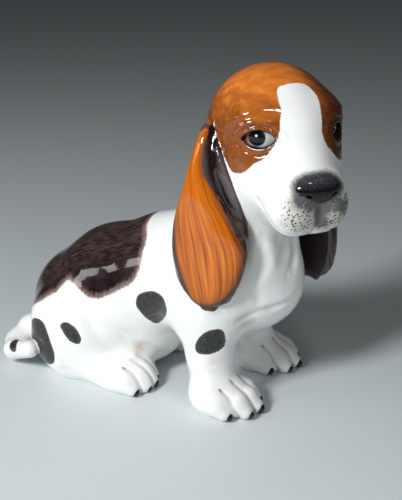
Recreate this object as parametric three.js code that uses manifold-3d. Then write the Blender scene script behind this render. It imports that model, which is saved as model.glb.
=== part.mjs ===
// A seated basset hound puppy, a glazed ceramic statue.
// Millimetres, +Z up. The dog faces -Y, its right side is -X, and it sits on the plane z = 0.
import * as THREE from 'three';
import Module from 'manifold-3d';

const wasm = await Module();
wasm.setup();

// Driving dimensions

const SEAM = 0.3;                        // clear width of the cut between two neighbouring pieces
const GRAIN = 0.05;                      // corners closer than this become one
const STAND_CENTRE = [-1.5, -9];         // middle of the whole statue's box, from the chest line
const HEAD_CENTRE = [-12, -109, 265];    // middle of the skull
const HEAD_TURN = -40.6;                 // degrees, the head is turned to the dog's right
const SKULL = [55.5, 56, 54];            // half sizes of the skull
const LEG_SPREAD = 45;                   // forelegs, out from the middle
const HAUNCH_SPREAD = 50;                // thighs, out from the middle
const FORE_PAWS = [-50.5, 50];           // middles of the forepaws, right and left
const HIND_PAWS = [-52.5, 52];           // middles of the hind feet, right and left
const FORE_TOES = [[-21.5, -101], [-9.5, -117], [5, -121], [19.5, -113]];  // each toe across its paw, and its tip
const HIND_TOES = [[-18.5, -2], [-6, -9], [5.5, -9.5], [16.5, -4]];
const CLAW = [4, 5.2, 4.2];              // half sizes of one nail
const EYE_AT = [35, -43.9, 1.5];         // middle of the left eye's opening, in the head
const EYE_TURN = 34;                     // degrees that it faces outward
const EYE_LENGTH = 30;                   // of the opening between the lids
const EYE_HEIGHT = 14.5;
const EYEBALL = 21.5;                    // radius of the eyeball
const EYEBALL_BACK = 21.5;               // its middle behind the opening
const NOSE_AT = [0, -77, -35];
const NOSE = [22, 13.5, 12.5];           // half sizes of the nose
const NOSTRIL_AT = [12.5, -87, -39];
const NOSTRIL = [3.4, 5, 2.6];
const EAR_EDGE = 5.5;                    // radius of the rim of an ear's flap
const PANEL_EDGE = 4;                    // radius of the rim of the ear's inner side
const EAR_CUP = [4, 6];                  // how far the margins of the right and left ear curl in

// Colours of the glaze and the paint, and how glossy they are

const glaze = (color, roughness = 0.12) => new THREE.MeshStandardMaterial({ color, roughness, metalness: 0 });
const WHITE_GLAZE = glaze(0xe9e7e1);
const TAN_GLAZE = glaze(0xb5662a);
const EAR_GLAZE = glaze(0xb4641f);
const BLACK_GLAZE = glaze(0x1c1b1d, 0.08);
const EYE_GLAZE = glaze(0x232a36, 0.05);

// Masses that the clay form is built from. Each tells how far a point is from its surface,
// negative inside, and blends into what came before over the width named last.

/** Rotation in degrees about x, then y, then z. */
function turnOf([x, y, z]) {
  const radians = THREE.MathUtils.degToRad;
  return new THREE.Matrix4().makeRotationFromEuler(new THREE.Euler(radians(x), radians(y), radians(z), 'ZYX'));
}

/** An ellipsoid with the given half sizes. */
function ball(centre, radii, blend = 0, turn = [0, 0, 0]) {
  const inverse = turnOf(turn).setPosition(...centre).invert().elements;
  const reach = Math.max(...radii) + blend;
  const distance = (x, y, z) => {
    const px = inverse[0] * x + inverse[4] * y + inverse[8] * z + inverse[12];
    const py = inverse[1] * x + inverse[5] * y + inverse[9] * z + inverse[13];
    const pz = inverse[2] * x + inverse[6] * y + inverse[10] * z + inverse[14];
    const near = Math.hypot(px / radii[0], py / radii[1], pz / radii[2]);
    const slope = Math.hypot(px / radii[0] ** 2, py / radii[1] ** 2, pz / radii[2] ** 2);
    return near * (near - 1) / Math.max(slope, 1e-9);
  };
  return { distance, blend, centre, reach };
}

/** A limb with round ends, from one centre and radius to another. */
function limb(start, end, startRadius, endRadius, blend = 0) {
  const [ax, ay, az] = start;
  const along = end.map((value, axis) => value - start[axis]);
  const lengthSquared = along.reduce((sum, value) => sum + value * value, 0);
  const taper = startRadius - endRadius;
  const cone = lengthSquared - taper * taper;
  const middle = start.map((value, axis) => (value + end[axis]) / 2);
  const reach = Math.sqrt(lengthSquared) / 2 + Math.max(startRadius, endRadius) + blend;
  const distance = (x, y, z) => {
    const px = x - ax;
    const py = y - ay;
    const pz = z - az;
    const shadow = px * along[0] + py * along[1] + pz * along[2];
    const beyond = shadow - lengthSquared;
    const qx = px * lengthSquared - along[0] * shadow;
    const qy = py * lengthSquared - along[1] * shadow;
    const qz = pz * lengthSquared - along[2] * shadow;
    const across = qx * qx + qy * qy + qz * qz;
    const before = shadow * shadow * lengthSquared;
    const after = beyond * beyond * lengthSquared;
    const edge = Math.sign(taper) * taper * taper * across;
    if (Math.sign(beyond) * cone * after > edge) {
      return Math.sqrt(across + after) / lengthSquared - endRadius;
    }
    if (Math.sign(shadow) * cone * before < edge) {
      return Math.sqrt(across + before) / lengthSquared - startRadius;
    }
    return (Math.sqrt(across * cone / lengthSquared) + shadow * taper) / lengthSquared - startRadius;
  };
  return { distance, blend, centre: middle, reach };
}

/** Smooth curve through the stations' values, by height. */
function follow(stations, height, column) {
  const last = stations.length - 1;
  const at = THREE.MathUtils.clamp(height, stations[0][0], stations[last][0]);
  let index = 0;
  while (index < last - 1 && at > stations[index + 1][0]) index += 1;
  const slope = (from) => {
    const step = (a, b) => (stations[b][column] - stations[a][column]) / (stations[b][0] - stations[a][0]);
    if (from === 0) return step(0, 1);
    if (from === last) return step(last - 1, last);
    const before = stations[from][0] - stations[from - 1][0];
    const after = stations[from + 1][0] - stations[from][0];
    return (step(from, from + 1) * before + step(from - 1, from) * after) / (before + after);
  };
  const span = stations[index + 1][0] - stations[index][0];
  const t = (at - stations[index][0]) / span;
  const rise = (2 * t ** 3 - 3 * t ** 2 + 1) * stations[index][column]
    + (3 * t ** 2 - 2 * t ** 3) * stations[index + 1][column];
  return rise + (t ** 3 - 2 * t ** 2 + t) * span * slope(index) + (t ** 3 - t ** 2) * span * slope(index + 1);
}

/**
 * A hanging leaf, the form of an ear. Each station is [height, x, y, half width, bulge],
 * from the tip up. front points to the front margin and out to the outer face.
 */
function leaf(stations, front, out, edge, cup) {
  const top = stations[stations.length - 1][0];
  const tip = stations[0][0];
  return (x, y, z) => {
    const dx = x - follow(stations, z, 1);
    const dy = y - follow(stations, z, 2);
    const width = follow(stations, z, 3);
    const across = dx * front[0] + dy * front[1];
    const share = THREE.MathUtils.clamp(across / width, -1.3, 1.3);
    const depth = dx * out[0] + dy * out[1] + cup * share * share;
    const side = Math.max(Math.abs(across) - Math.max(width - edge, 0), 0);
    const end = Math.max(z - top, tip - z, 0);
    const face = Math.max(Math.abs(depth) - follow(stations, z, 4) * Math.max(1 - share * share, 0), 0);
    return Math.hypot(side, end, face) - edge;
  };
}

/** Two distances joined with a rounded hollow of the given width. */
function blended(a, b, width) {
  if (width <= 0) return Math.min(a, b);
  const share = Math.max(1 - Math.abs(a - b) / width, 0);
  return Math.min(a, b) - share * share * width / 4;
}

/** One distance from many masses, added in their order. */
function clayOf(masses) {
  return (x, y, z) => masses.reduce((found, mass) => {
    const room = Math.hypot(x - mass.centre[0], y - mass.centre[1], z - mass.centre[2]) - mass.reach;
    return room > 20 ? found : blended(found, mass.distance(x, y, z), mass.blend);
  }, 1000);
}

const SIDES = [-1, 1];

function trunkMasses() {
  const shoulders = SIDES.map((side) => ball([side * 42, -56, 112], [24, 36, 48], 22, [-8, 0, 0]));
  return [
    limb([0, -62, 112], [0, -4, 106], 54, 58),
    limb([0, -4, 106], [0, 56, 81], 58, 61, 10),
    limb([0, 56, 81], [0, 97, 58], 61, 56, 10),
    ball([0, 60, 38], [54, 72, 42], 25),
    ball([0, -91, 115], [42, 47, 46], 22),
    limb([0, -60, 150], [-8, -92, 226], 47, 41, 26),
    limb([-30, -104, 200], [-26, -110, 138], 14, 12, 20),
    limb([2, -116, 196], [0, -118, 140], 13, 12, 20),
    ...shoulders,
  ];
}

/** Four toes, each two rolls that meet at the knuckle. */
function toesOf(paw, toes, root, knuckle, tip) {
  return toes.flatMap(([across, reach]) => {
    const bend = [paw + across * 0.96, reach + knuckle.back, knuckle.height];
    return [
      limb([paw + across * 0.6, root.back, root.height], bend, root.radius, knuckle.radius, 7),
      limb(bend, [paw + across, reach + tip.back, tip.height], knuckle.radius, tip.radius, 4),
    ];
  });
}

function foreMasses() {
  return SIDES.flatMap((side, index) => {
    const paw = FORE_PAWS[index];
    return [
      limb([side * 42, -60, 106], [side * LEG_SPREAD, -66, 48], 28, 20.5, 22),
      limb([side * LEG_SPREAD, -66, 48], [paw - side * 3, -71, 26], 20.5, 20.5, 10),
      ball([paw, -80, 9], [25, 29, 18], 20),
      ...toesOf(paw, FORE_TOES, { back: -74, height: 23, radius: 12 }, { back: 16, height: 13.5, radius: 9.4 },
        { back: 8, height: 7.5, radius: 7.4 }),
    ];
  });
}

function hindMasses() {
  return SIDES.flatMap((side, index) => {
    const paw = HIND_PAWS[index];
    return [
      ball([side * HAUNCH_SPREAD, 82, 50], [31, 47, 45], 18, [10, 0, side * -4]),
      ball([side * 42, 98, 24], [30, 40, 26], 14),
      limb([side * 54, 80, 16], [paw, 30, 15], 21, 17, 16),
      ball([paw, 22, 9], [24, 30, 16], 18),
      ...toesOf(paw, HIND_TOES, { back: 32, height: 18, radius: 11.5 }, { back: 15, height: 12, radius: 8.8 },
        { back: 7, height: 7, radius: 7 }),
    ];
  });
}

function tailMasses() {
  return [
    limb([-12, 140, 28], [-28, 153, 23], 14, 12.5, 10),
    limb([-28, 153, 23], [-48, 157, 15], 12.5, 11, 8),
    limb([-48, 157, 15], [-66, 148, 15], 11, 10.5, 8),
    limb([-66, 148, 15], [-77, 119, 27], 10.5, 9, 2),
  ];
}

/** The head's masses, in its own frame: x to the dog's left, -y forward, z up from the skull's middle. */
function headMasses() {
  const cheeks = SIDES.flatMap((side) => [
    ball([side * 29, -26, 13], [20, 18, 16], 14, [0, 0, side * 12]),
    ball([side * 26, -20, -30], [21, 28, 30], 20),
    limb([side * 23, -26, -22], [side * 14.5, -56, -46], 21, 20, 16),
  ]);
  const lips = SIDES.map((side) => ball([side * 16, -64, -51], [18, 24, 25], 10));
  return [
    ball([0, 3, -1], SKULL, 18),
    ...cheeks,
    limb([0, -34, -8], [0, -62, -38], 31, 23, 18),
    ...lips,
    ball([0, -56, -62], [20, 25, 16], 12),
    limb([0, -10, -50], [0, 20, -50], 36, 42, 24),
  ];
}

const headFrame = turnOf([0, 0, HEAD_TURN]).setPosition(...HEAD_CENTRE);
const intoHead = headFrame.clone().invert();

/** Masses made in the head's frame, seen from the statue's frame. */
function placedInHead(masses) {
  const e = intoHead.elements;
  return masses.map((mass) => ({
    blend: mass.blend,
    reach: mass.reach,
    centre: new THREE.Vector3(...mass.centre).applyMatrix4(headFrame).toArray(),
    distance: (x, y, z) => mass.distance(
      e[0] * x + e[4] * y + e[12],
      e[1] * x + e[5] * y + e[13],
      z + e[14],
    ),
  }));
}

const clay = clayOf([
  ...trunkMasses(), ...foreMasses(), ...hindMasses(), ...placedInHead(headMasses()),
]);
const tailClay = clayOf(tailMasses());

// Ears: stations from the tip up, as [height, x, y, half width, bulge]

const RIGHT_FLAP = leaf([
  [111, -67, -72.5, 12.5, 0],
  [114, -67, -72.5, 18, 2],
  [120, -67, -72.7, 23, 3],
  [129, -67, -72.7, 27.8, 4],
  [145, -67, -72.8, 33.5, 5],
  [158, -66.5, -73, 35.8, 5],
  [168, -66, -73, 35.8, 5],
  [180, -66, -71.7, 33.3, 5],
  [190, -65.5, -70.2, 30, 5],
  [210, -65, -66.8, 20.8, 5],
  [228, -64, -64.6, 13.4, 3],
  [238, -62.5, -63.8, 10.2, 2],
  [250, -59, -64.6, 8.8, 2],
  [262, -54, -66.5, 7.5, 2],
  [272, -47, -70, 7, 2],
], [0, -1], [-1, 0], EAR_EDGE, EAR_CUP[0]);

const RIGHT_PANEL = leaf([
  [140, -54, -86, 12, 0],
  [148, -54, -84, 20, 0],
  [160, -54, -84, 22.5, 0],
  [179, -54, -84, 22.5, 1],
  [195, -56, -83, 20.5, 1],
  [209, -61, -82, 20, 1],
  [220, -63.5, -81, 18, 1],
  [229, -64.5, -80, 16, 1],
  [238, -64, -78, 13.5, 1],
  [245, -62, -76, 12, 1],
  [252, -60, -74, 10, 1],
  [259, -57.5, -71.5, 8.5, 0],
  [266, -53.5, -69, 7, 0],
], [0, -1], [-1, 0], PANEL_EDGE, 0);

const LEFT_EAR = leaf([
  [117, 34, -133, 14.5, 0],
  [120, 34, -133, 20, 2],
  [126, 34, -132.5, 26, 3],
  [140, 35, -131, 32, 4],
  [165, 37, -129, 34.5, 5],
  [190, 38, -129, 31.5, 5],
  [215, 37, -130, 23, 4],
  [240, 36, -134, 15, 4],
  [258, 34, -136, 9, 3],
], [-0.29, -0.957], [0.957, -0.29], EAR_EDGE, EAR_CUP[1]);

/** The right ear: its flap, and its inner side showing in front of it. */
const RIGHT_EAR = (x, y, z) => blended(RIGHT_PANEL(x, y, z), RIGHT_FLAP(x, y, z), 3);

// Turning a distance into a closed skin of triangles

/** Slope of a distance at a point. */
function slopeAt(distance, [x, y, z]) {
  const h = 0.4;
  return new THREE.Vector3(
    distance(x + h, y, z) - distance(x - h, y, z),
    distance(x, y + h, z) - distance(x, y - h, z),
    distance(x, y, z + h) - distance(x, y, z - h),
  ).divideScalar(2 * h);
}

/** Skin of a distance inside a box, with one corner in each cell that the surface crosses. */
function skinOf(distance, low, high, step) {
  const counts = low.map((value, axis) => Math.ceil((high[axis] - value) / step[axis]) + 1);
  const [nx, ny, nz] = counts;
  const place = (i, j, k) => [low[0] + i * step[0], low[1] + j * step[1], low[2] + k * step[2]];
  const index = (i, j, k) => (i * ny + j) * nz + k;
  const values = new Float64Array(nx * ny * nz);
  for (let i = 0; i < nx; i += 1) {
    for (let j = 0; j < ny; j += 1) {
      for (let k = 0; k < nz; k += 1) {
        const atBorder = i === 0 || j === 0 || k === 0 || i === nx - 1 || j === ny - 1 || k === nz - 1;
        const found = distance(...place(i, j, k));
        values[index(i, j, k)] = atBorder ? Math.max(found, 0.5) : found;
      }
    }
  }
  const corners = [];
  const cornerOf = new Map();
  const bits = [0, 1];
  for (let i = 0; i < nx - 1; i += 1) {
    for (let j = 0; j < ny - 1; j += 1) {
      for (let k = 0; k < nz - 1; k += 1) {
        const crossings = [];
        bits.forEach((a) => bits.forEach((b) => {
          const edges = [
            [[i, j + a, k + b], [i + 1, j + a, k + b]],
            [[i + a, j, k + b], [i + a, j + 1, k + b]],
            [[i + a, j + b, k], [i + a, j + b, k + 1]],
          ];
          edges.forEach(([from, to]) => {
            const start = values[index(...from)];
            const end = values[index(...to)];
            if ((start < 0) === (end < 0)) return;
            const share = start / (start - end);
            const a0 = place(...from);
            const a1 = place(...to);
            crossings.push(a0.map((value, axis) => value + share * (a1[axis] - value)));
          });
        }));
        if (crossings.length === 0) continue;
        const mean = [0, 1, 2].map((axis) => crossings.reduce((sum, c) => sum + c[axis], 0) / crossings.length);
        cornerOf.set(index(i, j, k), corners.length);
        corners.push(mean);
      }
    }
  }
  const limits = low.map((value, axis) => [value + step[axis], value + (counts[axis] - 2) * step[axis]]);
  const settled = corners.map((corner) => {
    let point = corner;
    for (let pass = 0; pass < 2; pass += 1) {
      if (point.some((value, axis) => value < limits[axis][0] || value > limits[axis][1])) return point;
      const slope = slopeAt(distance, point);
      const travel = THREE.MathUtils.clamp(
        distance(...point) / Math.max(slope.lengthSq(), 0.2), -step[0] / 2, step[0] / 2);
      point = [point[0] - slope.x * travel, point[1] - slope.y * travel, point[2] - slope.z * travel];
    }
    return point;
  });
  const triangles = [];
  const gap = (a, b) => Math.hypot(...settled[a].map((value, axis) => value - settled[b][axis]));
  const quad = (a, b, c, d) => {
    if (gap(a, c) <= gap(b, d)) triangles.push(a, b, c, a, c, d);
    else triangles.push(b, c, d, b, d, a);
  };
  for (let i = 0; i < nx - 1; i += 1) {
    for (let j = 0; j < ny - 1; j += 1) {
      for (let k = 0; k < nz - 1; k += 1) {
        const here = values[index(i, j, k)] < 0;
        const rings = [
          [j && k, [i + 1, j, k], [[i, j - 1, k - 1], [i, j, k - 1], [i, j, k], [i, j - 1, k]]],
          [i && k, [i, j + 1, k], [[i - 1, j, k - 1], [i - 1, j, k], [i, j, k], [i, j, k - 1]]],
          [i && j, [i, j, k + 1], [[i - 1, j - 1, k], [i, j - 1, k], [i, j, k], [i - 1, j, k]]],
        ];
        rings.forEach(([inner, next, cells]) => {
          if (!inner || here === (values[index(...next)] < 0)) return;
          const ring = cells.map((cell) => cornerOf.get(index(...cell)));
          if (here) quad(...ring);
          else quad(...ring.reverse());
        });
      }
    }
  }
  return { corners: settled, triangles };
}

/** Closed solid of a skin, grown outwards by a margin. */
function solidOf({ corners, triangles }, distance, margin = 0) {
  const points = corners.map((corner) => {
    if (margin === 0) return corner;
    const outward = slopeAt(distance, corner).normalize();
    return [corner[0] + outward.x * margin, corner[1] + outward.y * margin, corner[2] + outward.z * margin];
  });
  return solidFrom(points.flat(), triangles);
}

function solidFrom(positions, triangles) {
  const mesh = new wasm.Mesh({
    numProp: 3,
    vertProperties: new Float32Array(positions),
    triVerts: new Uint32Array(triangles),
  });
  return new wasm.Manifold(mesh);
}

/** Solid of loose triangles, with corners that fall on the same grain made one. */
function welded(positions, order, grain) {
  const corners = [];
  const known = new Map();
  const merged = [];
  for (let i = 0; i < positions.length; i += 3) {
    const corner = [0, 1, 2].map((axis) => Math.round(positions[i + axis] / grain) * grain);
    const key = corner.map((value) => Math.round(value / grain)).join();
    if (!known.has(key)) {
      known.set(key, corners.length);
      corners.push(corner);
    }
    merged.push(known.get(key));
  }
  const triangles = [];
  for (let i = 0; i < order.length; i += 3) {
    const [a, b, c] = [0, 1, 2].map((offset) => merged[order[i + offset]]);
    if (a !== b && b !== c && c !== a) triangles.push(a, b, c);
  }
  return solidFrom(corners.flat(), triangles);
}

/** Solid of a three.js geometry moved by a matrix. */
function solidOfGeometry(geometry, matrix = new THREE.Matrix4()) {
  const source = geometry.clone().applyMatrix4(matrix);
  const positions = source.getAttribute('position').array;
  const order = source.getIndex() ? source.getIndex().array : positions.map((_, i) => i).slice(0, positions.length / 3);
  return welded(positions, order, 1e-4);
}

/** A block between two corners, grown by a margin on every side. */
function block(low, high, margin = 0, matrix = new THREE.Matrix4()) {
  const size = low.map((value, axis) => high[axis] - value + 2 * margin);
  const middle = low.map((value, axis) => (value + high[axis]) / 2);
  const moved = matrix.clone().multiply(new THREE.Matrix4().setPosition(...middle));
  return solidOfGeometry(new THREE.BoxGeometry(...size), moved);
}

/** An ellipsoid solid in the head's frame. */
function orb(centre, radii, margin = 0, columns = 14, rows = 10) {
  const place = headFrame.clone().multiply(new THREE.Matrix4().setPosition(...centre));
  const shape = new THREE.SphereGeometry(1, columns, rows);
  shape.scale(...radii.map((radius) => radius + margin));
  return solidOfGeometry(shape, place);
}

/** The almond shape of an eye's opening, where two balls overlap. */
function almond(side, margin = 0) {
  const lift = (EYE_LENGTH ** 2 - EYE_HEIGHT ** 2) / (4 * EYE_HEIGHT);
  const bow = lift + EYE_HEIGHT / 2 + margin;
  const [x, y, z] = EYE_AT;
  const [below, above] = [-lift, lift].map((rise) => orb([side * x, y, z + rise], [bow, bow, bow], 0, 24, 18));
  return below.intersect(above);
}

/** An eye: the part of its ball that shows in the opening. */
function eyeOf(side) {
  const turn = THREE.MathUtils.degToRad(EYE_TURN);
  const [x, y, z] = EYE_AT;
  const middle = [side * (x - EYEBALL_BACK * Math.sin(turn)), y + EYEBALL_BACK * Math.cos(turn), z];
  return orb(middle, [EYEBALL, EYEBALL, EYEBALL], 0, 20, 14).intersect(almond(side));
}

/** The largest closed piece of a solid. */
function largest(solid) {
  return solid.decompose().reduce((best, piece) => (piece.volume() > best.volume() ? piece : best));
}

/** Corners and triangles of a solid's largest piece, its corners on a fine grain and slivers closed. */
function meshOf(solid) {
  const { vertProperties, triVerts } = largest(solid).getMesh();
  return largest(welded(vertProperties, triVerts, GRAIN)).getMesh();
}

// Where the statue is parted into its nodes

const ABOVE_FLOOR = [[-200, -300, 0], [200, 300, 400]];
const JAW_CUT = { drop: 54, pitch: 24 };     // plane between head and neck, in the head's frame
const NECK_CUT = { height: 172, pitch: 20 }; // plane between neck and torso
const jawPlane = headFrame.clone().multiply(new THREE.Matrix4().setPosition(0, 0, -JAW_CUT.drop))
  .multiply(turnOf([JAW_CUT.pitch, 0, 0]));
const neckPlane = new THREE.Matrix4().setPosition(0, -80, NECK_CUT.height).multiply(turnOf([NECK_CUT.pitch, 0, 0]));
const REGION = {
  foreleg: (side) => spanOf(side, 20, 90, [-135, -34], [25, 86]),
  forepaw: (side) => spanOf(side, 12, 90, [-135, -34], [-5, 25]),
  thigh: (side) => spanOf(side, 34, 100, [38, 135], [-5, 94]),
  hindfoot: (side) => spanOf(side, 20, 100, [-20, 38], [-5, 30]),
};

function spanOf(side, near, far, [back, front], [low, high]) {
  const x = side < 0 ? [-far, -near] : [near, far];
  return [[x[0], back, low], [x[1], front, high]];
}

const half = SEAM / 2;
const floorBlock = block(...ABOVE_FLOOR);
const regionOf = (name, side) => REGION[name](side);

/** A limb's node: the clay inside its block, on its own grid. */
function partedLimb(name, side, step) {
  const [low, high] = regionOf(name, side);
  const room = low.map((value, axis) => Math.max(value, [-110, -140, 0][axis]) - 2 * step);
  const roof = high.map((value, axis) => Math.min(value, [110, 195, 400][axis]) + 2 * step);
  const skin = skinOf(clay, room, roof, [step, step, step]);
  return solidOf(skin, clay).intersect(block(low, high, -half)).intersect(floorBlock);
}

/** Nails at the ends of the toes of one foot. */
function withClaws(foot, paw, toes, height) {
  return toes.reduce((clawed, [across, reach]) => {
    const place = new THREE.Matrix4().setPosition(paw + across, reach + 4, height);
    const shape = new THREE.SphereGeometry(1, 7, 5).scale(...CLAW);
    return clawed.add(solidOfGeometry(shape, place));
  }, foot).intersect(floorBlock);
}

const nodes = {};
SIDES.forEach((side, index) => {
  const name = side < 0 ? 'right' : 'left';
  nodes[`foreleg_${name}`] = [partedLimb('foreleg', side, 9), WHITE_GLAZE];
  nodes[`forepaw_${name}`] = [
    withClaws(partedLimb('forepaw', side, 6.2), FORE_PAWS[index], FORE_TOES, 7), WHITE_GLAZE];
  nodes[`thigh_${name}`] = [partedLimb('thigh', side, 10.5), WHITE_GLAZE];
  nodes[`hindfoot_${name}`] = [
    withClaws(partedLimb('hindfoot', side, 6.5), HIND_PAWS[index], HIND_TOES, 6.5), WHITE_GLAZE];
});

const torsoSkin = skinOf(clay, [-108, -150, -12], [112, 200, 200], [12, 12, 12]);
const neckSkin = skinOf(clay, [-80, -190, 120], [80, 10, 270], [10, 10, 10]);
const headSkin = skinOf((x, y, z) => {
  const place = new THREE.Vector3(x, y, z).applyMatrix4(headFrame);
  return clay(place.x, place.y, place.z);
}, [-75, -105, -100], [75, 75, 70], [8, 8, 8]);

const belowNeck = block([-300, -300, -400], [300, 300, -half], 0, neckPlane);
const aboveNeck = block([-300, -300, half], [300, 300, 400], 0, neckPlane);
const belowJaw = block([-300, -300, -400], [300, 300, -half], 0, jawPlane);
const aboveJaw = block([-300, -300, half], [300, 300, 400], 0, jawPlane);

/** The head's skin as a solid in the statue's frame. */
function headSolid(margin) {
  const corners = headSkin.corners.map((corner) => new THREE.Vector3(...corner).applyMatrix4(headFrame).toArray());
  return solidOf({ corners, triangles: headSkin.triangles }, clay, margin);
}

const limbBlocks = SIDES.flatMap((side) => ['foreleg', 'forepaw', 'thigh', 'hindfoot']
  .map((name) => block(...regionOf(name, side), half)));
nodes.torso = [
  limbBlocks.reduce((rest, cut) => rest.subtract(cut), solidOf(torsoSkin, clay).intersect(belowNeck))
    .intersect(floorBlock),
  WHITE_GLAZE,
];
nodes.neck = [solidOf(neckSkin, clay).intersect(aboveNeck).intersect(belowJaw), WHITE_GLAZE];

const sockets = SIDES.map((side) => almond(side, SEAM));
nodes.head = [
  sockets.reduce((rest, cut) => rest.subtract(cut), headSolid(0).intersect(aboveJaw)
    .subtract(orb(NOSE_AT, NOSE, SEAM))),
  TAN_GLAZE,
];
nodes.nose = [
  SIDES.reduce((rest, side) => {
    const [x, ...place] = NOSTRIL_AT;
    return rest.subtract(orb([side * x, ...place], NOSTRIL, 0, 7, 5));
  }, orb(NOSE_AT, NOSE)),
  BLACK_GLAZE,
];
nodes.eye_right = [eyeOf(-1), EYE_GLAZE];
nodes.eye_left = [eyeOf(1), EYE_GLAZE];

const grownBody = [headSolid(SEAM), solidOf(neckSkin, clay, SEAM), solidOf(torsoSkin, clay, SEAM)];
const earSolid = (distance, low, high) => grownBody.reduce(
  (rest, body) => rest.subtract(body),
  solidOf(skinOf(distance, low, high, [7.5, 9.5, 11.5]), distance),
);
nodes.ear_right = [earSolid(RIGHT_EAR, [-95, -128, 88], [-30, -15, 290]), EAR_GLAZE];
nodes.ear_left = [earSolid(LEFT_EAR, [5, -185, 92], [75, -75, 290]), EAR_GLAZE];

const thighSkin = skinOf(clay, [-110, 20, -12], [-20, 150, 110], [10.5, 10.5, 10.5]);
nodes.tail = [
  solidOf(skinOf(tailClay, [-90, 110, -8], [12, 180, 62], [6.5, 6.5, 6.5]), tailClay)
    .subtract(solidOf(torsoSkin, clay, SEAM)).subtract(solidOf(thighSkin, clay, SEAM)).intersect(floorBlock),
  WHITE_GLAZE,
];

const statue = new THREE.Group();
statue.position.set(-STAND_CENTRE[0], -STAND_CENTRE[1], 0);
Object.entries(nodes).forEach(([name, [solid, material]]) => {
  const { vertProperties, triVerts } = meshOf(solid);
  const geometry = new THREE.BufferGeometry();
  geometry.setAttribute('position', new THREE.BufferAttribute(new Float32Array(vertProperties), 3));
  geometry.setIndex(new THREE.BufferAttribute(new Uint32Array(triVerts), 1));
  geometry.computeVertexNormals();
  const mesh = new THREE.Mesh(geometry, material);
  mesh.name = name;
  statue.add(mesh);
});

export default statue;
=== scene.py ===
"""A glazed ceramic statue of a seated basset hound puppy, painted by hand.

Sizes are millimetres from the chest line until the last step, which puts each piece where the
statue stands, in metres. The dog faces -Y and its right side is -X.
"""
import logging
import math
from dataclasses import dataclass, field
from enum import Enum
from typing import Callable, Iterable, Sequence

import bpy
import numpy as np
from mathutils import Euler, Matrix


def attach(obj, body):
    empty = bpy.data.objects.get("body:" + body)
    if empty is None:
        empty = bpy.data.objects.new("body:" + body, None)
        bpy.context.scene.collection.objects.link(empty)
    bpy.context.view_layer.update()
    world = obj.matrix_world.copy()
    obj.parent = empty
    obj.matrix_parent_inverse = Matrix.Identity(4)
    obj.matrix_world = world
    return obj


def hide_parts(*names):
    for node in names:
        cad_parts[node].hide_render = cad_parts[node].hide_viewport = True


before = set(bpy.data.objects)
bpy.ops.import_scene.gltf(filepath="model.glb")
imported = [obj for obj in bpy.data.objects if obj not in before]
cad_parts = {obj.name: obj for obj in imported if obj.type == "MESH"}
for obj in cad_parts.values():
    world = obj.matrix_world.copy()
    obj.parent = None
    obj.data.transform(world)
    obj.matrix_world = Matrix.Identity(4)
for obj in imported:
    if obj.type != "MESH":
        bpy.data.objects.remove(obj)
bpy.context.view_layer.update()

LOG = logging.getLogger("basset")
Vec = Sequence[float]
Cloud = np.ndarray

STAND_CENTRE = np.array([-1.5, -9.0, 0.0])
HEAD_CENTRE = np.array([-12.0, -109.0, 265.0])
HEAD_TURN = -40.6
RIGHT, LEFT = -1, 1
SIDES = (RIGHT, LEFT)
METRE = 1000.0
FAR = 400.0  # a distance that no mass has reached yet
AWAY = 50.0  # the same for paint
TINY = 1e-9  # keeps a division from failing
SLACK = 14.0  # how far outside its box a mass still shapes what it joins
DRAWN_WITHIN = 12.0  # strokes, folds and presses are read only this close to the masses
SLOPE_STEP = 0.35
FLATTEST = 0.2  # a slope less steep than this is read as this
PAST_RIM = 1.3  # how far past a leaf's margins its curl is read, in half widths


def turn_matrix(degrees: Vec) -> np.ndarray:
    """Rotation about x, then y, then z.

    Args:
        degrees: the three angles.

    Returns:
        A 3 by 3 matrix.
    """
    a, b, c = np.radians(degrees)
    about_x = np.array([[1, 0, 0], [0, math.cos(a), -math.sin(a)], [0, math.sin(a), math.cos(a)]])
    about_y = np.array([[math.cos(b), 0, math.sin(b)], [0, 1, 0], [-math.sin(b), 0, math.cos(b)]])
    about_z = np.array([[math.cos(c), -math.sin(c), 0], [math.sin(c), math.cos(c), 0], [0, 0, 1]])
    return about_z @ about_y @ about_x


HEAD_MATRIX = turn_matrix((0, 0, HEAD_TURN))


def into_head(points: Cloud) -> Cloud:
    """Points in the head's frame: x to the dog's left, -y forward, z up from the skull's middle."""
    return (points - HEAD_CENTRE) @ HEAD_MATRIX


def from_head(points: Cloud) -> Cloud:
    """Points of the head's frame in the statue's frame."""
    return np.asarray(points, float) @ HEAD_MATRIX.T + HEAD_CENTRE


# Masses of clay


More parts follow.
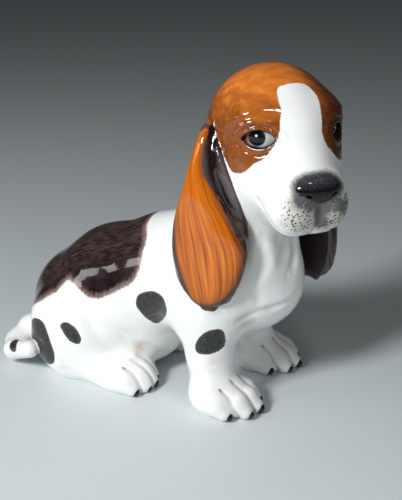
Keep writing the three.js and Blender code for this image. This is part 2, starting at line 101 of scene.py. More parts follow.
@dataclass
class Ball:
    """An ellipsoid of clay.

    Attributes:
        centre: its middle.
        radii: its half sizes.
        blend: width over which it flows into what came before.
        turn: its rotation in degrees.
        carve: whether it is pressed in instead of added.
        in_head: whether centre and turn are in the head's frame.
    """

    centre: Vec
    radii: Vec
    blend: float = 0.0
    turn: Vec = (0, 0, 0)
    carve: bool = False
    in_head: bool = False

    def __post_init__(self) -> None:
        """Settle its place in the statue's frame."""
        self.centre = np.asarray(self.centre, float)
        self.radii = np.asarray(self.radii, float)
        self.axes = turn_matrix(self.turn)
        if self.in_head:
            self.centre = from_head(self.centre)
            self.axes = HEAD_MATRIX @ self.axes

    def distance(self, points: Cloud) -> np.ndarray:
        """Distance of each point from its surface, negative inside.

        Args:
            points: where it is read.

        Returns:
            A distance for each point.
        """
        local = (points - self.centre) @ self.axes
        near = np.sqrt(((local / self.radii) ** 2).sum(-1))
        steep = np.sqrt(((local / self.radii ** 2) ** 2).sum(-1))
        return near * (near - 1) / np.maximum(steep, TINY)

    def room(self, margin: float) -> tuple[Cloud, Cloud]:
        """Lowest and highest corner of the box that it can change.

        Args:
            margin: how far past the clay it can reach.

        Returns:
            The two corners.
        """
        half = np.sqrt(((self.axes * self.radii) ** 2).sum(1)) + margin
        return self.centre - half, self.centre + half


@dataclass
class Limb:
    """A roll of clay with round ends, from one radius to another.

    Attributes:
        start: middle of its first end.
        end: middle of its other end.
        radius: radius at the start.
        end_radius: radius at the end.
        blend: width over which it flows into what came before.
        carve: whether it is pressed in instead of added.
        in_head: whether both ends are in the head's frame.
    """

    start: Vec
    end: Vec
    radius: float
    end_radius: float
    blend: float = 0.0
    carve: bool = False
    in_head: bool = False

    def __post_init__(self) -> None:
        """Settle its place in the statue's frame."""
        self.start = np.asarray(self.start, float)
        self.end = np.asarray(self.end, float)
        if self.in_head:
            self.start, self.end = from_head(self.start), from_head(self.end)

    def distance(self, points: Cloud) -> np.ndarray:
        """Distance of each point from its surface, negative inside.

        Args:
            points: where it is read.

        Returns:
            A distance for each point.
        """
        along = self.end - self.start
        squared = along @ along
        taper = self.radius - self.end_radius
        cone = squared - taper * taper
        offset = points - self.start
        shadow = offset @ along
        beyond = shadow - squared
        across = ((offset * squared - shadow[..., None] * along) ** 2).sum(-1)
        before, after = shadow ** 2 * squared, beyond ** 2 * squared
        edge = np.sign(taper) * taper * taper * across
        at_end = np.sign(beyond) * cone * after > edge
        at_start = (np.sign(shadow) * cone * before < edge) & ~at_end
        found = (np.sqrt(across * cone / squared) + shadow * taper) / squared - self.radius
        found = np.where(at_end, np.sqrt(across + after) / squared - self.end_radius, found)
        return np.where(at_start, np.sqrt(across + before) / squared - self.radius, found)

    def room(self, margin: float) -> tuple[Cloud, Cloud]:
        """Lowest and highest corner of the box that it can change.

        Args:
            margin: how far past the clay it can reach.

        Returns:
            The two corners.
        """
        low = np.minimum(self.start - self.radius, self.end - self.end_radius) - margin
        high = np.maximum(self.start + self.radius, self.end + self.end_radius) + margin
        return low, high


def flowing(stations: Cloud, at: np.ndarray, column: int) -> np.ndarray:
    """Smooth curve through the stations' values, by height.

    Args:
        stations: rows sorted by height, which is their first column.
        at: heights to read.
        column: the column to read.

    Returns:
        The value at each height.
    """
    heights, values = stations[:, 0], stations[:, column]
    at = np.clip(at, heights[0], heights[-1])
    index = np.clip(np.searchsorted(heights, at) - 1, 0, len(heights) - 2)
    gaps, rises = np.diff(heights), np.diff(values) / np.diff(heights)
    slopes = np.concatenate([
        rises[:1],
        (rises[1:] * gaps[:-1] + rises[:-1] * gaps[1:]) / (gaps[1:] + gaps[:-1]),
        rises[-1:],
    ])
    span = gaps[index]
    t = (at - heights[index]) / span
    level = (2 * t ** 3 - 3 * t ** 2 + 1) * values[index] + (3 * t ** 2 - 2 * t ** 3) * values[index + 1]
    lean = (t ** 3 - 2 * t ** 2 + t) * slopes[index] + (t ** 3 - t ** 2) * slopes[index + 1]
    return level + span * lean


@dataclass
class Leaf:
    """A hanging leaf of clay, the form of an ear.

    Attributes:
        stations: rows of height, x, y, half width and bulge, from the tip up.
        front: direction to its front margin, in plan.
        out: direction out of its outer face, in plan.
        edge: radius of its rim.
        cup: how far both margins curl in.
        blend: width over which it flows into what came before.
        carve: whether it is pressed in instead of added.
    """

    stations: Sequence[Vec]
    front: Vec
    out: Vec
    edge: float
    cup: float
    blend: float = 0.0
    carve: bool = False

    def __post_init__(self) -> None:
        """Keep the stations as an array."""
        self.stations = np.asarray(self.stations, float)

    def place(self, points: Cloud) -> tuple[np.ndarray, np.ndarray, np.ndarray]:
        """Where each point lies on the leaf: across, depth and half width there.

        Args:
            points: where it is read.

        Returns:
            Those three values for each point.
        """
        x, y, width = (flowing(self.stations, points[..., 2], column) for column in (1, 2, 3))
        dx, dy = points[..., 0] - x, points[..., 1] - y
        across = dx * self.front[0] + dy * self.front[1]
        share = np.clip(across / width, -PAST_RIM, PAST_RIM)
        return across, dx * self.out[0] + dy * self.out[1] + self.cup * share ** 2, width

    def distance(self, points: Cloud) -> np.ndarray:
        """Distance of each point from its surface, negative inside.

        Args:
            points: where it is read.

        Returns:
            A distance for each point.
        """
        across, depth, width = self.place(points)
        share = np.clip(across / width, -PAST_RIM, PAST_RIM)
        bulge = flowing(self.stations, points[..., 2], 4) * np.maximum(1 - share ** 2, 0)
        side = np.maximum(np.abs(across) - np.maximum(width - self.edge, 0), 0)
        height = points[..., 2]
        end = np.maximum(np.maximum(height - self.stations[-1, 0], self.stations[0, 0] - height), 0)
        face = np.maximum(np.abs(depth) - bulge, 0)
        return np.sqrt(side ** 2 + end ** 2 + face ** 2) - self.edge

    def room(self, margin: float) -> tuple[Cloud, Cloud]:
        """Lowest and highest corner of the box that it can change.

        Args:
            margin: how far past the clay it can reach.

        Returns:
            The two corners.
        """
        wide = self.stations[:, 3].max() + self.edge
        thick = self.stations[:, 4].max() + self.edge + self.cup
        reach = [abs(self.front[axis]) * wide + abs(self.out[axis]) * thick + margin for axis in (0, 1)]
        low = [self.stations[:, 1 + axis].min() - reach[axis] for axis in (0, 1)]
        high = [self.stations[:, 1 + axis].max() + reach[axis] for axis in (0, 1)]
        spare = self.edge + margin
        return (np.array([*low, self.stations[0, 0] - spare]), np.array([*high, self.stations[-1, 0] + spare]))


@dataclass
class Stroke:
    """A crease drawn in the wet clay with a tool, or a thin ridge laid on it.

    Attributes:
        path: points near the surface that it follows.
        depth: how deep it goes, negative for a ridge.
        width: how wide it is.
        in_head: whether the path is in the head's frame.
    """

    path: Sequence[Vec]
    depth: float
    width: float
    in_head: bool = False

    def settle(self, distance: Callable[[Cloud], np.ndarray]) -> None:
        """Round the path off and lay it on the surface.

        Args:
            distance: the plain form's distance.
        """
        points = np.asarray(self.path, float)
        if self.in_head:
            points = from_head(points)
        self.line = onto(distance, rounded(points, 6, closed=False), 5, 3.0)

    def push(self, points: Cloud) -> np.ndarray:
        """How far the stroke moves the surface in at each point.

        Args:
            points: where it is read.

        Returns:
            A depth for each point.
        """
        ends = np.minimum(*(np.linalg.norm(points - end, axis=-1) for end in (self.line[0], self.line[-1])))
        fade = np.clip(ends / (2.5 * self.width), 0, 1)
        return self.depth * fade * bump(nearest(points, self.line), 0, self.width)


def rounded(points: Cloud, steps: int, closed: bool = True) -> Cloud:
    """A curve that runs smoothly through every point.

    Args:
        points: the points.
        steps: how many pieces each span has.
        closed: whether the last point leads back to the first.

    Returns:
        Points along the curve.
    """
    if closed:
        around = np.concatenate([points[-1:], points, points[:2]])
    else:
        around = np.concatenate([2 * points[:1] - points[1:2], points, 2 * points[-1:] - points[-2:-1]])
    before, start, end, after = around[:-3], around[1:-2], around[2:-1], around[3:]
    t = np.arange(steps)[:, None, None] / steps
    curve = 0.5 * (2 * start + (end - before) * t + (2 * before - 5 * start + 4 * end - after) * t ** 2
                   + (3 * start - before - 3 * end + after) * t ** 3)
    line = curve.transpose(1, 0, 2).reshape(-1, points.shape[1])
    return line if closed else np.concatenate([line, points[-1:]])


def nearest(points: Cloud, line: Cloud) -> np.ndarray:
    """Distance of each point from an open line.

    Args:
        points: where it is read.
        line: the line's corners.

    Returns:
        A distance for each point.
    """
    best = np.full(points.shape[:-1], np.inf)
    for start, end in zip(line[:-1], line[1:]):
        along = end - start
        share = np.clip(((points - start) @ along) / max(along @ along, TINY), 0, 1)
        best = np.minimum(best, np.linalg.norm(points - start - share[..., None] * along, axis=-1))
    return best


def bump(at: np.ndarray, middle: float, width: float) -> np.ndarray:
    """A smooth bump, 1 high at its middle."""
    return np.exp(-((at - middle) / width) ** 2)


def within(points: Cloud, low: Vec, high: Vec) -> np.ndarray:
    """Which points lie in the box between two corners."""
    return ((points >= low) & (points <= high)).all(-1)


def slope(distance: Callable[[Cloud], np.ndarray], points: Cloud) -> Cloud:
    """Slope of a distance at each point.

    Args:
        distance: what is read.
        points: where it is read.

    Returns:
        The way in which it grows fastest, and how fast.
    """
    steps = np.eye(3) * SLOPE_STEP
    rises = [distance(points + step) - distance(points - step) for step in steps]
    return np.stack(rises, -1) / (2 * SLOPE_STEP)


def onto(distance: Callable[[Cloud], np.ndarray], points: Cloud, passes: int, reach: float) -> Cloud:
    """Points moved onto the surface along its slope.

    Args:
        distance: the form's distance.
        points: the points.
        passes: how often they move.
        reach: the longest move of a pass.

    Returns:
        The moved points.
    """
    for _ in range(passes):
        rise = slope(distance, points)
        travel = distance(points) / np.maximum((rise ** 2).sum(-1), FLATTEST)
        points = points - rise * np.clip(travel, -reach, reach)[..., None]
    return points


def joined(a: np.ndarray, b: np.ndarray, blend: float) -> np.ndarray:
    """The nearer of two distances, with a rounded hollow where they meet.

    Args:
        a: one distance.
        b: the other distance.
        blend: how wide the hollow is.

    Returns:
        The joined distance.
    """
    if blend <= 0:
        return np.minimum(a, b)
    share = np.clip(1 - np.abs(a - b) / blend, 0, 1)
    return np.minimum(a, b) - share ** 2 * blend / 4


@dataclass
class Lids:
    """The almond opening of an eye, with the folds of skin that run round it.

    Attributes:
        side: RIGHT or LEFT.
        middle: the opening's middle, in the head's frame, on the left side.
        turn: how far it faces outward, in degrees.
        tilt: how far its outer corner droops, in degrees.
        half_length: half its length.
        half_height: half its height.
        depth: how deep it goes.
        blend: how far its edge is rounded off.
        reach: how far from its middle the folds can lie.
    """

    side: int
    middle: Vec = (35.0, -43.9, 1.5)
    turn: float = 34.0
    tilt: float = 3.0
    half_length: float = 14.2
    half_height: float = 7.0
    depth: float = 9.0
    blend: float = 1.2
    reach: float = 45.0

    def __post_init__(self) -> None:
        """Settle its place in the statue's frame."""
        self.centre = from_head(np.array([[self.side * self.middle[0], *self.middle[1:]]]))[0]
        turned, tilted = turn_matrix((0, 0, self.side * self.turn)), turn_matrix((0, self.side * self.tilt, 0))
        self.axes = HEAD_MATRIX @ turned @ tilted
        lift = (self.half_length ** 2 - self.half_height ** 2) / (2 * self.half_height)
        self.lift, self.bow = lift, lift + self.half_height

    def local(self, points: Cloud) -> tuple[np.ndarray, np.ndarray, np.ndarray]:
        """Each point's place outward along the opening, out of the face, and up."""
        offset = (points - self.centre) @ self.axes
        return self.side * offset[..., 0], -offset[..., 1], offset[..., 2]

    def rim(self, points: Cloud) -> np.ndarray:
        """Distance of each point from the opening's edge, seen from the front, negative inside."""
        along, _, up = self.local(points)
        return np.hypot(along, np.abs(up) + self.lift) - self.bow

    def distance(self, points: Cloud) -> np.ndarray:
        """Distance from the space that is pressed in."""
        out = self.local(points)[1]
        return np.maximum(self.rim(points), np.abs(out) - self.depth)

    def push(self, points: Cloud) -> np.ndarray:
        """How far the folds move the surface in.

        Args:
            points: where it is read.

        Returns:
            A depth for each point.
        """
        along, out, up = self.local(points)
        rim = self.rim(points)
        near = np.clip((24 - np.abs(out)) / 8, 0, 1)
        above, below = np.clip(up / 5 + 0.4, 0, 1), np.clip(-up / 5 + 0.2, 0, 1)
        inward = np.clip(1 + along / 14, 0, 1)
        folds = -1.1 * bump(rim, 1.3, 1.5)
        folds += above * (1.3 * bump(rim, 4.0, 1.2) - 0.9 * bump(rim, 6.8, 2.4))
        folds += above * inward * (0.6 * bump(rim, 11, 2.2) - 0.7 * bump(rim, 15, 3.4))
        folds += below * inward * (0.5 * bump(rim, 5.5, 1.8) - 0.2 * bump(rim, 9, 3))
        return folds * near


@dataclass
class Clay:
    """The masses of a form, joined in their order, with what is drawn and pressed into it.

    Attributes:
        masses: what it is built from.
        strokes: creases and ridges.
        presses: what is pressed in last.
        lids: eye openings, pressed in after their folds are laid.
    """

    masses: list
    strokes: list[Stroke] = field(default_factory=list)
    presses: list = field(default_factory=list)
    lids: list[Lids] = field(default_factory=list)

    def __post_init__(self) -> None:
        """Lay the strokes on the plain form."""
        for stroke in self.strokes:
            stroke.settle(self.plain)

    def join(self, found: np.ndarray, points: Cloud, mass: object) -> np.ndarray:
        """Add one mass to, or carve it from, a distance."""
        value = mass.distance(points)
        return -joined(-found, value, mass.blend) if mass.carve else joined(found, value, mass.blend)

    def join_all(self, found: np.ndarray, points: Cloud, masses: list) -> np.ndarray:
        """Join masses in their order, each with the distances that it can change.

        Args:
            found: a distance for each point, changed in place.
            points: the points.
            masses: what is added or pressed in.

        Returns:
            The changed distances.
        """
        for mass in masses:
            inside = within(points, *mass.room(mass.blend + SLACK))
            if inside.any():
                found[inside] = self.join(found[inside], points[inside], mass)
        return found

    def plain(self, points: Cloud) -> np.ndarray:
        """Distance from the masses alone."""
        return self.join_all(np.full(points.shape[:-1], FAR), points, self.masses)

    def distance(self, points: Cloud) -> np.ndarray:
        """Distance of each point from the surface, negative inside and flat at the base.

        Args:
            points: where it is read.

        Returns:
            A distance for each point.
        """
        found = self.plain(points)
        for stroke in self.strokes:
            spare = 3 * stroke.width
            inside = within(points, stroke.line.min(0) - spare, stroke.line.max(0) + spare)
            if inside.any():
                found[inside] += stroke.push(points[inside])
        for lid in self.lids:
            inside = (np.abs(points - lid.centre) < lid.reach).all(-1)
            if inside.any():
                found[inside] += lid.push(points[inside])
                found[inside] = -joined(-found[inside], lid.distance(points[inside]), lid.blend)
        found = self.join_all(found, points, self.presses)
        return np.maximum(found, -points[..., 2])

    def on_grid(self, ticks: Sequence[np.ndarray]) -> np.ndarray:
        """Distance at every corner of a grid, read box by box.

        Args:
            ticks: the grid's lines along each axis.

        Returns:
            A distance for each corner.
        """
        found = np.full([len(axis) for axis in ticks], FAR)
        for mass in self.masses:
            low, high = mass.room(mass.blend + SLACK)
            cut = tuple(slice(*np.searchsorted(axis, (a, b))) for axis, a, b in zip(ticks, low, high))
            corners = np.stack(np.meshgrid(*[axis[s] for axis, s in zip(ticks, cut)], indexing="ij"), -1)
            if corners.size:
                found[cut] = self.join(found[cut], corners, mass)
        close = np.abs(found) < DRAWN_WITHIN
        places = np.argwhere(close)
        spots = np.stack([ticks[axis][places[:, axis]] for axis in range(3)], -1)
        found[close] = self.distance(spots)
        return np.maximum(found, -np.broadcast_to(ticks[2], found.shape))


def placed(name: str, data: bpy.types.ID) -> bpy.types.Object:
    """A new object of the scene, at the origin."""
    made = bpy.data.objects.new(name, data)
    bpy.context.scene.collection.objects.link(made)
    return made


@dataclass
class Skin:
    """A closed skin of triangles, in millimetres."""

    points: Cloud
    triangles: np.ndarray

    @staticmethod
    def of(clay: Clay, ticks: Sequence[np.ndarray]) -> "Skin":
        """Skin of a form, with one corner in each cell of the grid that its surface crosses.

        Args:
            clay: the form.
            ticks: the grid's lines along each axis.

        Returns:
            The skin, its corners laid on the form's surface.
        """
        values = clay.on_grid(ticks)
        solid = values < 0
        filled = sum(
            solid[i:solid.shape[0] - 1 + i, j:solid.shape[1] - 1 + j, k:solid.shape[2] - 1 + k].astype(np.int8)
            for i in (0, 1) for j in (0, 1) for k in (0, 1)
        )
        crossed = (filled > 0) & (filled < 8)
        cells = np.argwhere(crossed)
        number = np.full(crossed.shape, -1, np.int64)
        number[crossed] = np.arange(len(cells))
        points, count = np.zeros((len(cells), 3)), np.zeros(len(cells))
        for axis in range(3):
            for corner in np.ndindex(2, 2, 2):
                if corner[axis]:
                    continue
                start = cells + corner
                end = start + np.eye(3, dtype=int)[axis]
                a, b = values[tuple(start.T)], values[tuple(end.T)]
                cut = (a < 0) != (b < 0)
                share = np.where(cut, a / np.where(cut, a - b, 1), 0)[:, None]
                from_, to = (np.stack([ticks[n][at[:, n]] for n in range(3)], 1) for at in (start, end))
                points[cut] += (from_ * (1 - share) + to * share)[cut]
                count[cut] += 1
        points /= count[:, None]
        quads = []
        for axis in range(3):
            second, third = (axis + 1) % 3, (axis + 2) % 3
            lower = np.take(solid, range(solid.shape[axis] - 1), axis)
            upper = np.take(solid, range(1, solid.shape[axis]), axis)
            edges = np.argwhere(lower != upper)
            outward = lower[tuple(edges.T)]
            ring = []
            for back in ((1, 1), (0, 1), (0, 0), (1, 0)):
                cell = edges.copy()
                cell[:, second] -= back[0]
                cell[:, third] -= back[1]
                ring.append(number[tuple(cell.T)])
            quad = np.stack(ring, 1)
            quad[~outward] = quad[~outward][:, ::-1]
            quads.append(quad)
        quad = np.concatenate(quads)
        reach = max(float(np.diff(axis).max()) for axis in ticks)
        points = onto(clay.distance, points, 2, reach)
        points[:, 2] = np.maximum(points[:, 2], 0)
        shorter = (np.linalg.norm(points[quad[:, 0]] - points[quad[:, 2]], axis=1)
                   <= np.linalg.norm(points[quad[:, 1]] - points[quad[:, 3]], axis=1))
        one, other = quad[shorter], quad[~shorter]
        triangles = np.concatenate([one[:, [0, 1, 2]], one[:, [0, 2, 3]], other[:, [0, 1, 3]], other[:, [1, 2, 3]]])
        return Skin(points, triangles)

    def piece(self, name: str, traits: dict[str, np.ndarray] | None = None) -> bpy.types.Object:
        """A Blender object of the skin, where the statue stands.

        Args:
            name: the piece's name.
            traits: values for each corner, kept as attributes for the paint.

        Returns:
            The object, smooth shaded.
        """
        mesh = bpy.data.meshes.new(name)
        mesh.vertices.add(len(self.points))
        mesh.vertices.foreach_set("co", ((self.points - STAND_CENTRE) / METRE).astype(np.float32).ravel())
        mesh.loops.add(len(self.triangles) * 3)
        mesh.loops.foreach_set("vertex_index", self.triangles.astype(np.int32).ravel())
        mesh.polygons.add(len(self.triangles))
        mesh.polygons.foreach_set("loop_start", np.arange(0, len(self.triangles) * 3, 3, dtype=np.int32))
        mesh.update(calc_edges=True)
        mesh.validate()
        mesh.shade_smooth()
        for trait, values in (traits or {}).items():
            kind = "FLOAT_VECTOR" if values.ndim == 2 else "FLOAT"
            slot = mesh.attributes.new(trait, kind, "POINT")
            slot.data.foreach_set("vector" if values.ndim == 2 else "value", values.astype(np.float32).ravel())
        return placed(name, mesh)


def spaced(*spans: tuple[float, float, float]) -> np.ndarray:
    """Grid lines over spans that follow each other, each with its own spacing.

    Args:
        spans: start, end and spacing of each span.

    Returns:
        The lines' places.
    """
    lines = [np.linspace(low, high, max(round((high - low) / step), 1), endpoint=False) for low, high, step in spans]
    return np.concatenate([*lines, [spans[-1][1]]])


@dataclass
class EyeClay(Clay):
    """The part of an eyeball that fills the opening of its lids."""

    lid: Lids | None = None
    tuck: float = 1.4

    def distance(self, points: Cloud) -> np.ndarray:
        """Distance from the ball, kept to the opening and a little under the lids.

        Args:
            points: where it is read.

        Returns:
            A distance for each point.
        """
        out = self.lid.local(points)[1]
        edge = np.maximum(self.lid.rim(points) - self.tuck, -self.lid.depth - out)
        return np.maximum(self.plain(points), edge)

    def on_grid(self, ticks: Sequence[np.ndarray]) -> np.ndarray:
        """Distance at every corner of a grid."""
        return self.distance(np.stack(np.meshgrid(*ticks, indexing="ij"), -1))


# The parts of the dog


@dataclass
class Body:
    """Trunk, neck, legs and tail."""

    leg_spread: float = 45.0
    haunch_spread: float = 50.0
    fore_paws: tuple[float, float] = (-50.5, 48.0)
    hind_paws: tuple[float, float] = (-52.5, 52.0)
    fore_toes: tuple = ((-21.5, -101), (-9.5, -117), (5, -121), (19.5, -113))
    hind_toes: tuple = ((-18.5, -2), (-6, -9), (5.5, -9.5), (16.5, -4))

    def trunk(self) -> list:
        """Chest, belly, rump and neck, with the slack skin of the throat.

        Returns:
            The masses, in the order in which they join.
        """
        shoulders = [Ball((side * 42, -56, 112), (24, 36, 48), 22, (-8, 0, 0)) for side in SIDES]
        return [
            Limb((0, -62, 112), (0, -4, 106), 54, 58),
            Limb((0, -4, 106), (0, 56, 81), 58, 61, 10),
            Limb((0, 56, 81), (0, 97, 58), 61, 56, 10),
            Ball((0, 60, 38), (54, 72, 42), 25),
            Ball((0, -91, 115), (42, 47, 46), 22),
            Limb((0, -60, 150), (-8, -92, 226), 47, 41, 26),
            Limb((-30, -104, 200), (-26, -110, 138), 14, 12, 20),
            Limb((2, -116, 196), (0, -118, 140), 13, 12, 20),
            *shoulders,
        ]

    def forelegs(self) -> list:
        """Two straight legs with splayed paws, each toe its own roll.

        Returns:
            The masses, in the order in which they join.
        """
        masses = []
        for side, paw in zip(SIDES, self.fore_paws):
            masses += [
                Limb((side * 42, -60, 106), (side * self.leg_spread, -66, 48), 28, 20.5, 22),
                Limb((side * self.leg_spread, -66, 48), (paw - side * 3, -71, 26), 20.5, 20.5, 10),
                Ball((paw, -80, 9), (25, 29, 18), 20),
            ]
            for across, tip in self.fore_toes:
                knuckle = (paw + across * 0.96, tip + 16, 13.5)
                masses.append(Limb((paw + across * 0.6, -74, 23), knuckle, 12, 9.4, 7))
                masses.append(Limb(knuckle, (paw + across, tip + 8, 7.5), 9.4, 7.4, 4))
        return masses

    def hind_legs(self) -> list:
        """Folded thighs and the hind feet that lie flat in front of them.

        Returns:
            The masses, in the order in which they join.
        """
        masses = []
        for side, paw in zip(SIDES, self.hind_paws):
            masses += [
                Ball((side * self.haunch_spread, 82, 50), (31, 47, 45), 18, (10, 0, side * -4)),
                Ball((side * 42, 98, 24), (30, 40, 26), 14),
                Limb((side * 54, 80, 16), (paw, 30, 15), 21, 17, 16),
                Ball((paw, 22, 9), (24, 30, 16), 18),
            ]
            for across, tip in self.hind_toes:
                knuckle = (paw + across * 0.96, tip + 15, 12)
                masses.append(Limb((paw + across * 0.6, 32, 18), knuckle, 11.5, 8.8, 7))
                masses.append(Limb(knuckle, (paw + across, tip + 7, 7), 8.8, 7, 4))
        return masses

    def tail(self) -> list:
        """The tail, curled forward along the right haunch."""
        return [
            Limb((-12, 140, 28), (-28, 153, 23), 14, 12.5, 10),
            Limb((-28, 153, 23), (-48, 157, 15), 12.5, 11, 8),
            Limb((-48, 157, 15), (-66, 148, 15), 11, 10.5, 8),
            Limb((-66, 148, 15), (-77, 119, 27), 10.5, 9, 1.5),
        ]

    def masses(self) -> list:
        """Every mass of the body."""
        return [*self.trunk(), *self.forelegs(), *self.hind_legs(), *self.tail()]

    def valleys(self) -> list[Cloud]:
        """Lines between neighbouring toes of every paw.

        Returns:
            A line for each valley.
        """
        fore = (((-17, -86, 27), (-16.5, -92, 23), (-16, -99, 16), (-15.5, -106, 5)),
                ((-4, -89, 29), (-3, -98, 25), (-2.5, -108, 17), (-2, -116, 5)),
                ((9, -89, 28), (11, -98, 24), (12, -107, 16), (12, -115, 5)))
        hind = (((-15, 16, 25), (-13.5, 9, 21), (-12.5, 3, 14), (-12, -2, 5)),
                ((-2, 17, 27), (-0.5, 8, 23), (-0.5, -1, 15), (0, -7, 5)),
                ((8, 17, 27), (10, 8, 22), (11, 0, 14), (11, -5, 5)))
        return [
            np.array(line, float) + (paw, 0, 0)
            for paws, lines in ((self.fore_paws, fore), (self.hind_paws, hind)) for paw in paws for line in lines
        ]

    def strokes(self) -> list[Stroke]:
        """Valleys between the toes, and the folds of slack skin on throat, chest and belly.

        Returns:
            The strokes, the valleys last.
        """
        folds = [
            Stroke([(-30, -123, 166), (-35, -121, 148), (-41, -115, 132), (-42, -112, 114)], -1.4, 7),
            Stroke([(-8, -130, 168), (-7, -132, 152), (-12, -133, 142), (-18, -132, 132)], 2.0, 4.5),
            Stroke([(-46, -112, 182), (-43, -115, 168), (-43, -114, 154)], 1.0, 3.5),
            Stroke([(-56, -94, 90), (-46, -101, 95), (-37, -114, 100), (-23, -129, 105), (-8, -136, 109)], 1.7, 3),
            Stroke([(-43, -110, 124), (-41, -111, 112), (-37, -115, 103)], 1.4, 3.5),
            Stroke([(-50, 18, 47), (-43, 9, 41), (-34, 1, 34), (-16, -2, 20)], 1.3, 3.5),
            Stroke([(-66, 68, 97), (-69, 60, 85), (-70, 52, 72), (-70, 46, 60), (-66, 39, 46), (-58, 27, 36),
                    (-50, 12, 32)], 2.6, 7),
        ]
        return [*folds, *(Stroke(line, 2.2, 1.8) for line in self.valleys())]


@dataclass
class Head:
    """Skull, cheeks, muzzle, brows, lids and lips, in the head's frame."""

    eyeball: Vec = (22.4, -26.4, 1.5)
    eyeball_radius: float = 21.5
    nose: Vec = (0, -77, -35)
    nose_radii: Vec = (22, 13.5, 12.5)

    def masses(self) -> list:
        """Every mass of the head, in the order in which they join.

        Returns:
            The masses.
        """
        masses = [Ball((0, 3, -1), (55.5, 56, 54), 18, in_head=True)]
        for side in SIDES:
            masses += [
                Ball((side * 29, -26, 13), (20, 18, 16), 14, (0, 0, side * 12), in_head=True),
                Ball((side * 26, -20, -30), (21, 28, 30), 20, in_head=True),
                Limb((side * 23, -26, -22), (side * 14.5, -56, -46), 21, 20, 16, in_head=True),
            ]
        masses.append(Limb((0, -34, -8), (0, -62, -38), 31, 23, 18, in_head=True))
        masses += [Ball((side * 16, -64, -51), (18, 24, 25), 10, in_head=True) for side in SIDES]
        masses.append(Ball((0, -56, -62), (20, 25, 16), 12, in_head=True))
        masses.append(Limb((0, -10, -50), (0, 20, -50), 36, 42, 24, in_head=True))
        return masses

    def lids(self) -> list[Lids]:
        """The two eye openings."""
        return [Lids(side) for side in SIDES]

    def nose_seat(self) -> Ball:
        """The hollow that the nose sits in."""
        return Ball(self.nose, np.array(self.nose_radii) - 1.2, 1, carve=True, in_head=True)

    def strokes(self) -> list[Stroke]:
        """Creases and ridges of the face.

        Returns:
            The strokes.
        """
        drawn = [Stroke([(0, -88, -46), (0, -88, -58), (0, -84, -72), (0, -72, -78)], 2.8, 2.6, True)]
        for side in SIDES:
            drawn += [
                Stroke([(side * 53, -24, 8), (side * 54, -28, -6), (side * 53, -30, -18)], 0.8, 3.0, True),
                Stroke([(side * 14, -80, -72), (side * 26, -70, -74), (side * 32, -62, -66), (side * 36, -54, -54),
                        (side * 37, -46, -44)], 1.3, 2.2, True),
            ]
        return drawn


@dataclass
class Ears:
    """Two long leaves, each a flap with the hollow inner side of the ear in front of it."""

    edge: float = 5.5
    panel_edge: float = 4.0
    cup: float = 4.0
    left_cup: float = 6.0

    def right(self) -> Leaf:
        """The flap of the dog's right ear, on the shoulder."""
        return Leaf([
            (111, -67, -72.5, 12.5, 0), (114, -67, -72.5, 18, 2), (120, -67, -72.7, 23, 3), (129, -67, -72.7, 27.8, 4),
            (145, -67, -72.8, 33.5, 5), (158, -66.5, -73, 35.8, 5), (168, -66, -73, 35.8, 5),
            (180, -66, -71.7, 33.3, 5), (190, -65.5, -70.2, 30, 5), (210, -65, -66.8, 20.8, 5),
            (228, -64, -64.6, 13.4, 3),
            (238, -62.5, -63.8, 10.2, 2), (250, -59, -64.6, 8.8, 2), (262, -54, -66.5, 7.5, 2), (272, -46, -70, 7, 2),
            (280, -39, -74, 7, 2),
        ], (0, -1), (-1, 0), self.edge, self.cup, 5)

    def right_panel(self) -> Leaf:
        """The inner side of the right ear, seen in front of its flap."""
        return Leaf([
            (140, -54, -86, 12, 0), (148, -54, -84, 20, 0), (160, -54, -84, 22.5, 0), (179, -54, -84, 22.5, 1),
            (195, -56, -83, 20.5, 1), (209, -61, -82, 20, 1), (220, -63.5, -81, 18, 1), (229, -64.5, -80, 16, 1),
            (238, -64, -78, 13.5, 1), (245, -62, -76, 12, 1), (252, -60, -74, 10, 1), (259, -57.5, -71.5, 8.5, 0),
            (266, -53.5, -69, 7, 0),
        ], (0, -1), (-1, 0), self.panel_edge, 0, 2)

    def left(self) -> Leaf:
        """The flap of the dog's left ear, hanging free."""
        return Leaf([
            (117, 34, -133, 14.5, 0), (120, 34, -133, 20, 2), (126, 34, -132.5, 26, 3), (140, 35, -131, 32, 4),
            (165, 37, -129, 34.5, 5), (190, 38, -129, 31.5, 5), (215, 37, -130, 23, 4), (240, 36, -134, 15, 4),
            (258, 34, -136, 9, 3),
        ], (-0.29, -0.957), (0.957, -0.29), self.edge, self.left_cup, 3)

    def leaves(self) -> tuple[Leaf, ...]:
        """Every leaf, in the order in which they join the head."""
        return self.right_panel(), self.right(), self.left()


# Paint


def wire(outline: Cloud, points: Cloud) -> np.ndarray:
    """Signed distance of plan points from a closed outline, positive inside.

    Args:
        outline: the outline's corners.
        points: where it is read.

    Returns:
        A distance for each point.
    """
    start, end = outline, np.roll(outline, -1, 0)
    best = np.full(len(points), np.inf)
    inside = np.zeros(len(points), bool)
    x, y = points[:, 0], points[:, 1]
    for (ax, ay), (bx, by) in zip(start, end):
        ex, ey = bx - ax, by - ay
        share = np.clip(((x - ax) * ex + (y - ay) * ey) / max(ex * ex + ey * ey, TINY), 0, 1)
        best = np.minimum(best, np.hypot(x - ax - share * ex, y - ay - share * ey))
        if by != ay:
            inside ^= ((ay > y) != (by > y)) & (x < ex * (y - ay) / ey + ax)
    return np.where(inside, best, -best)


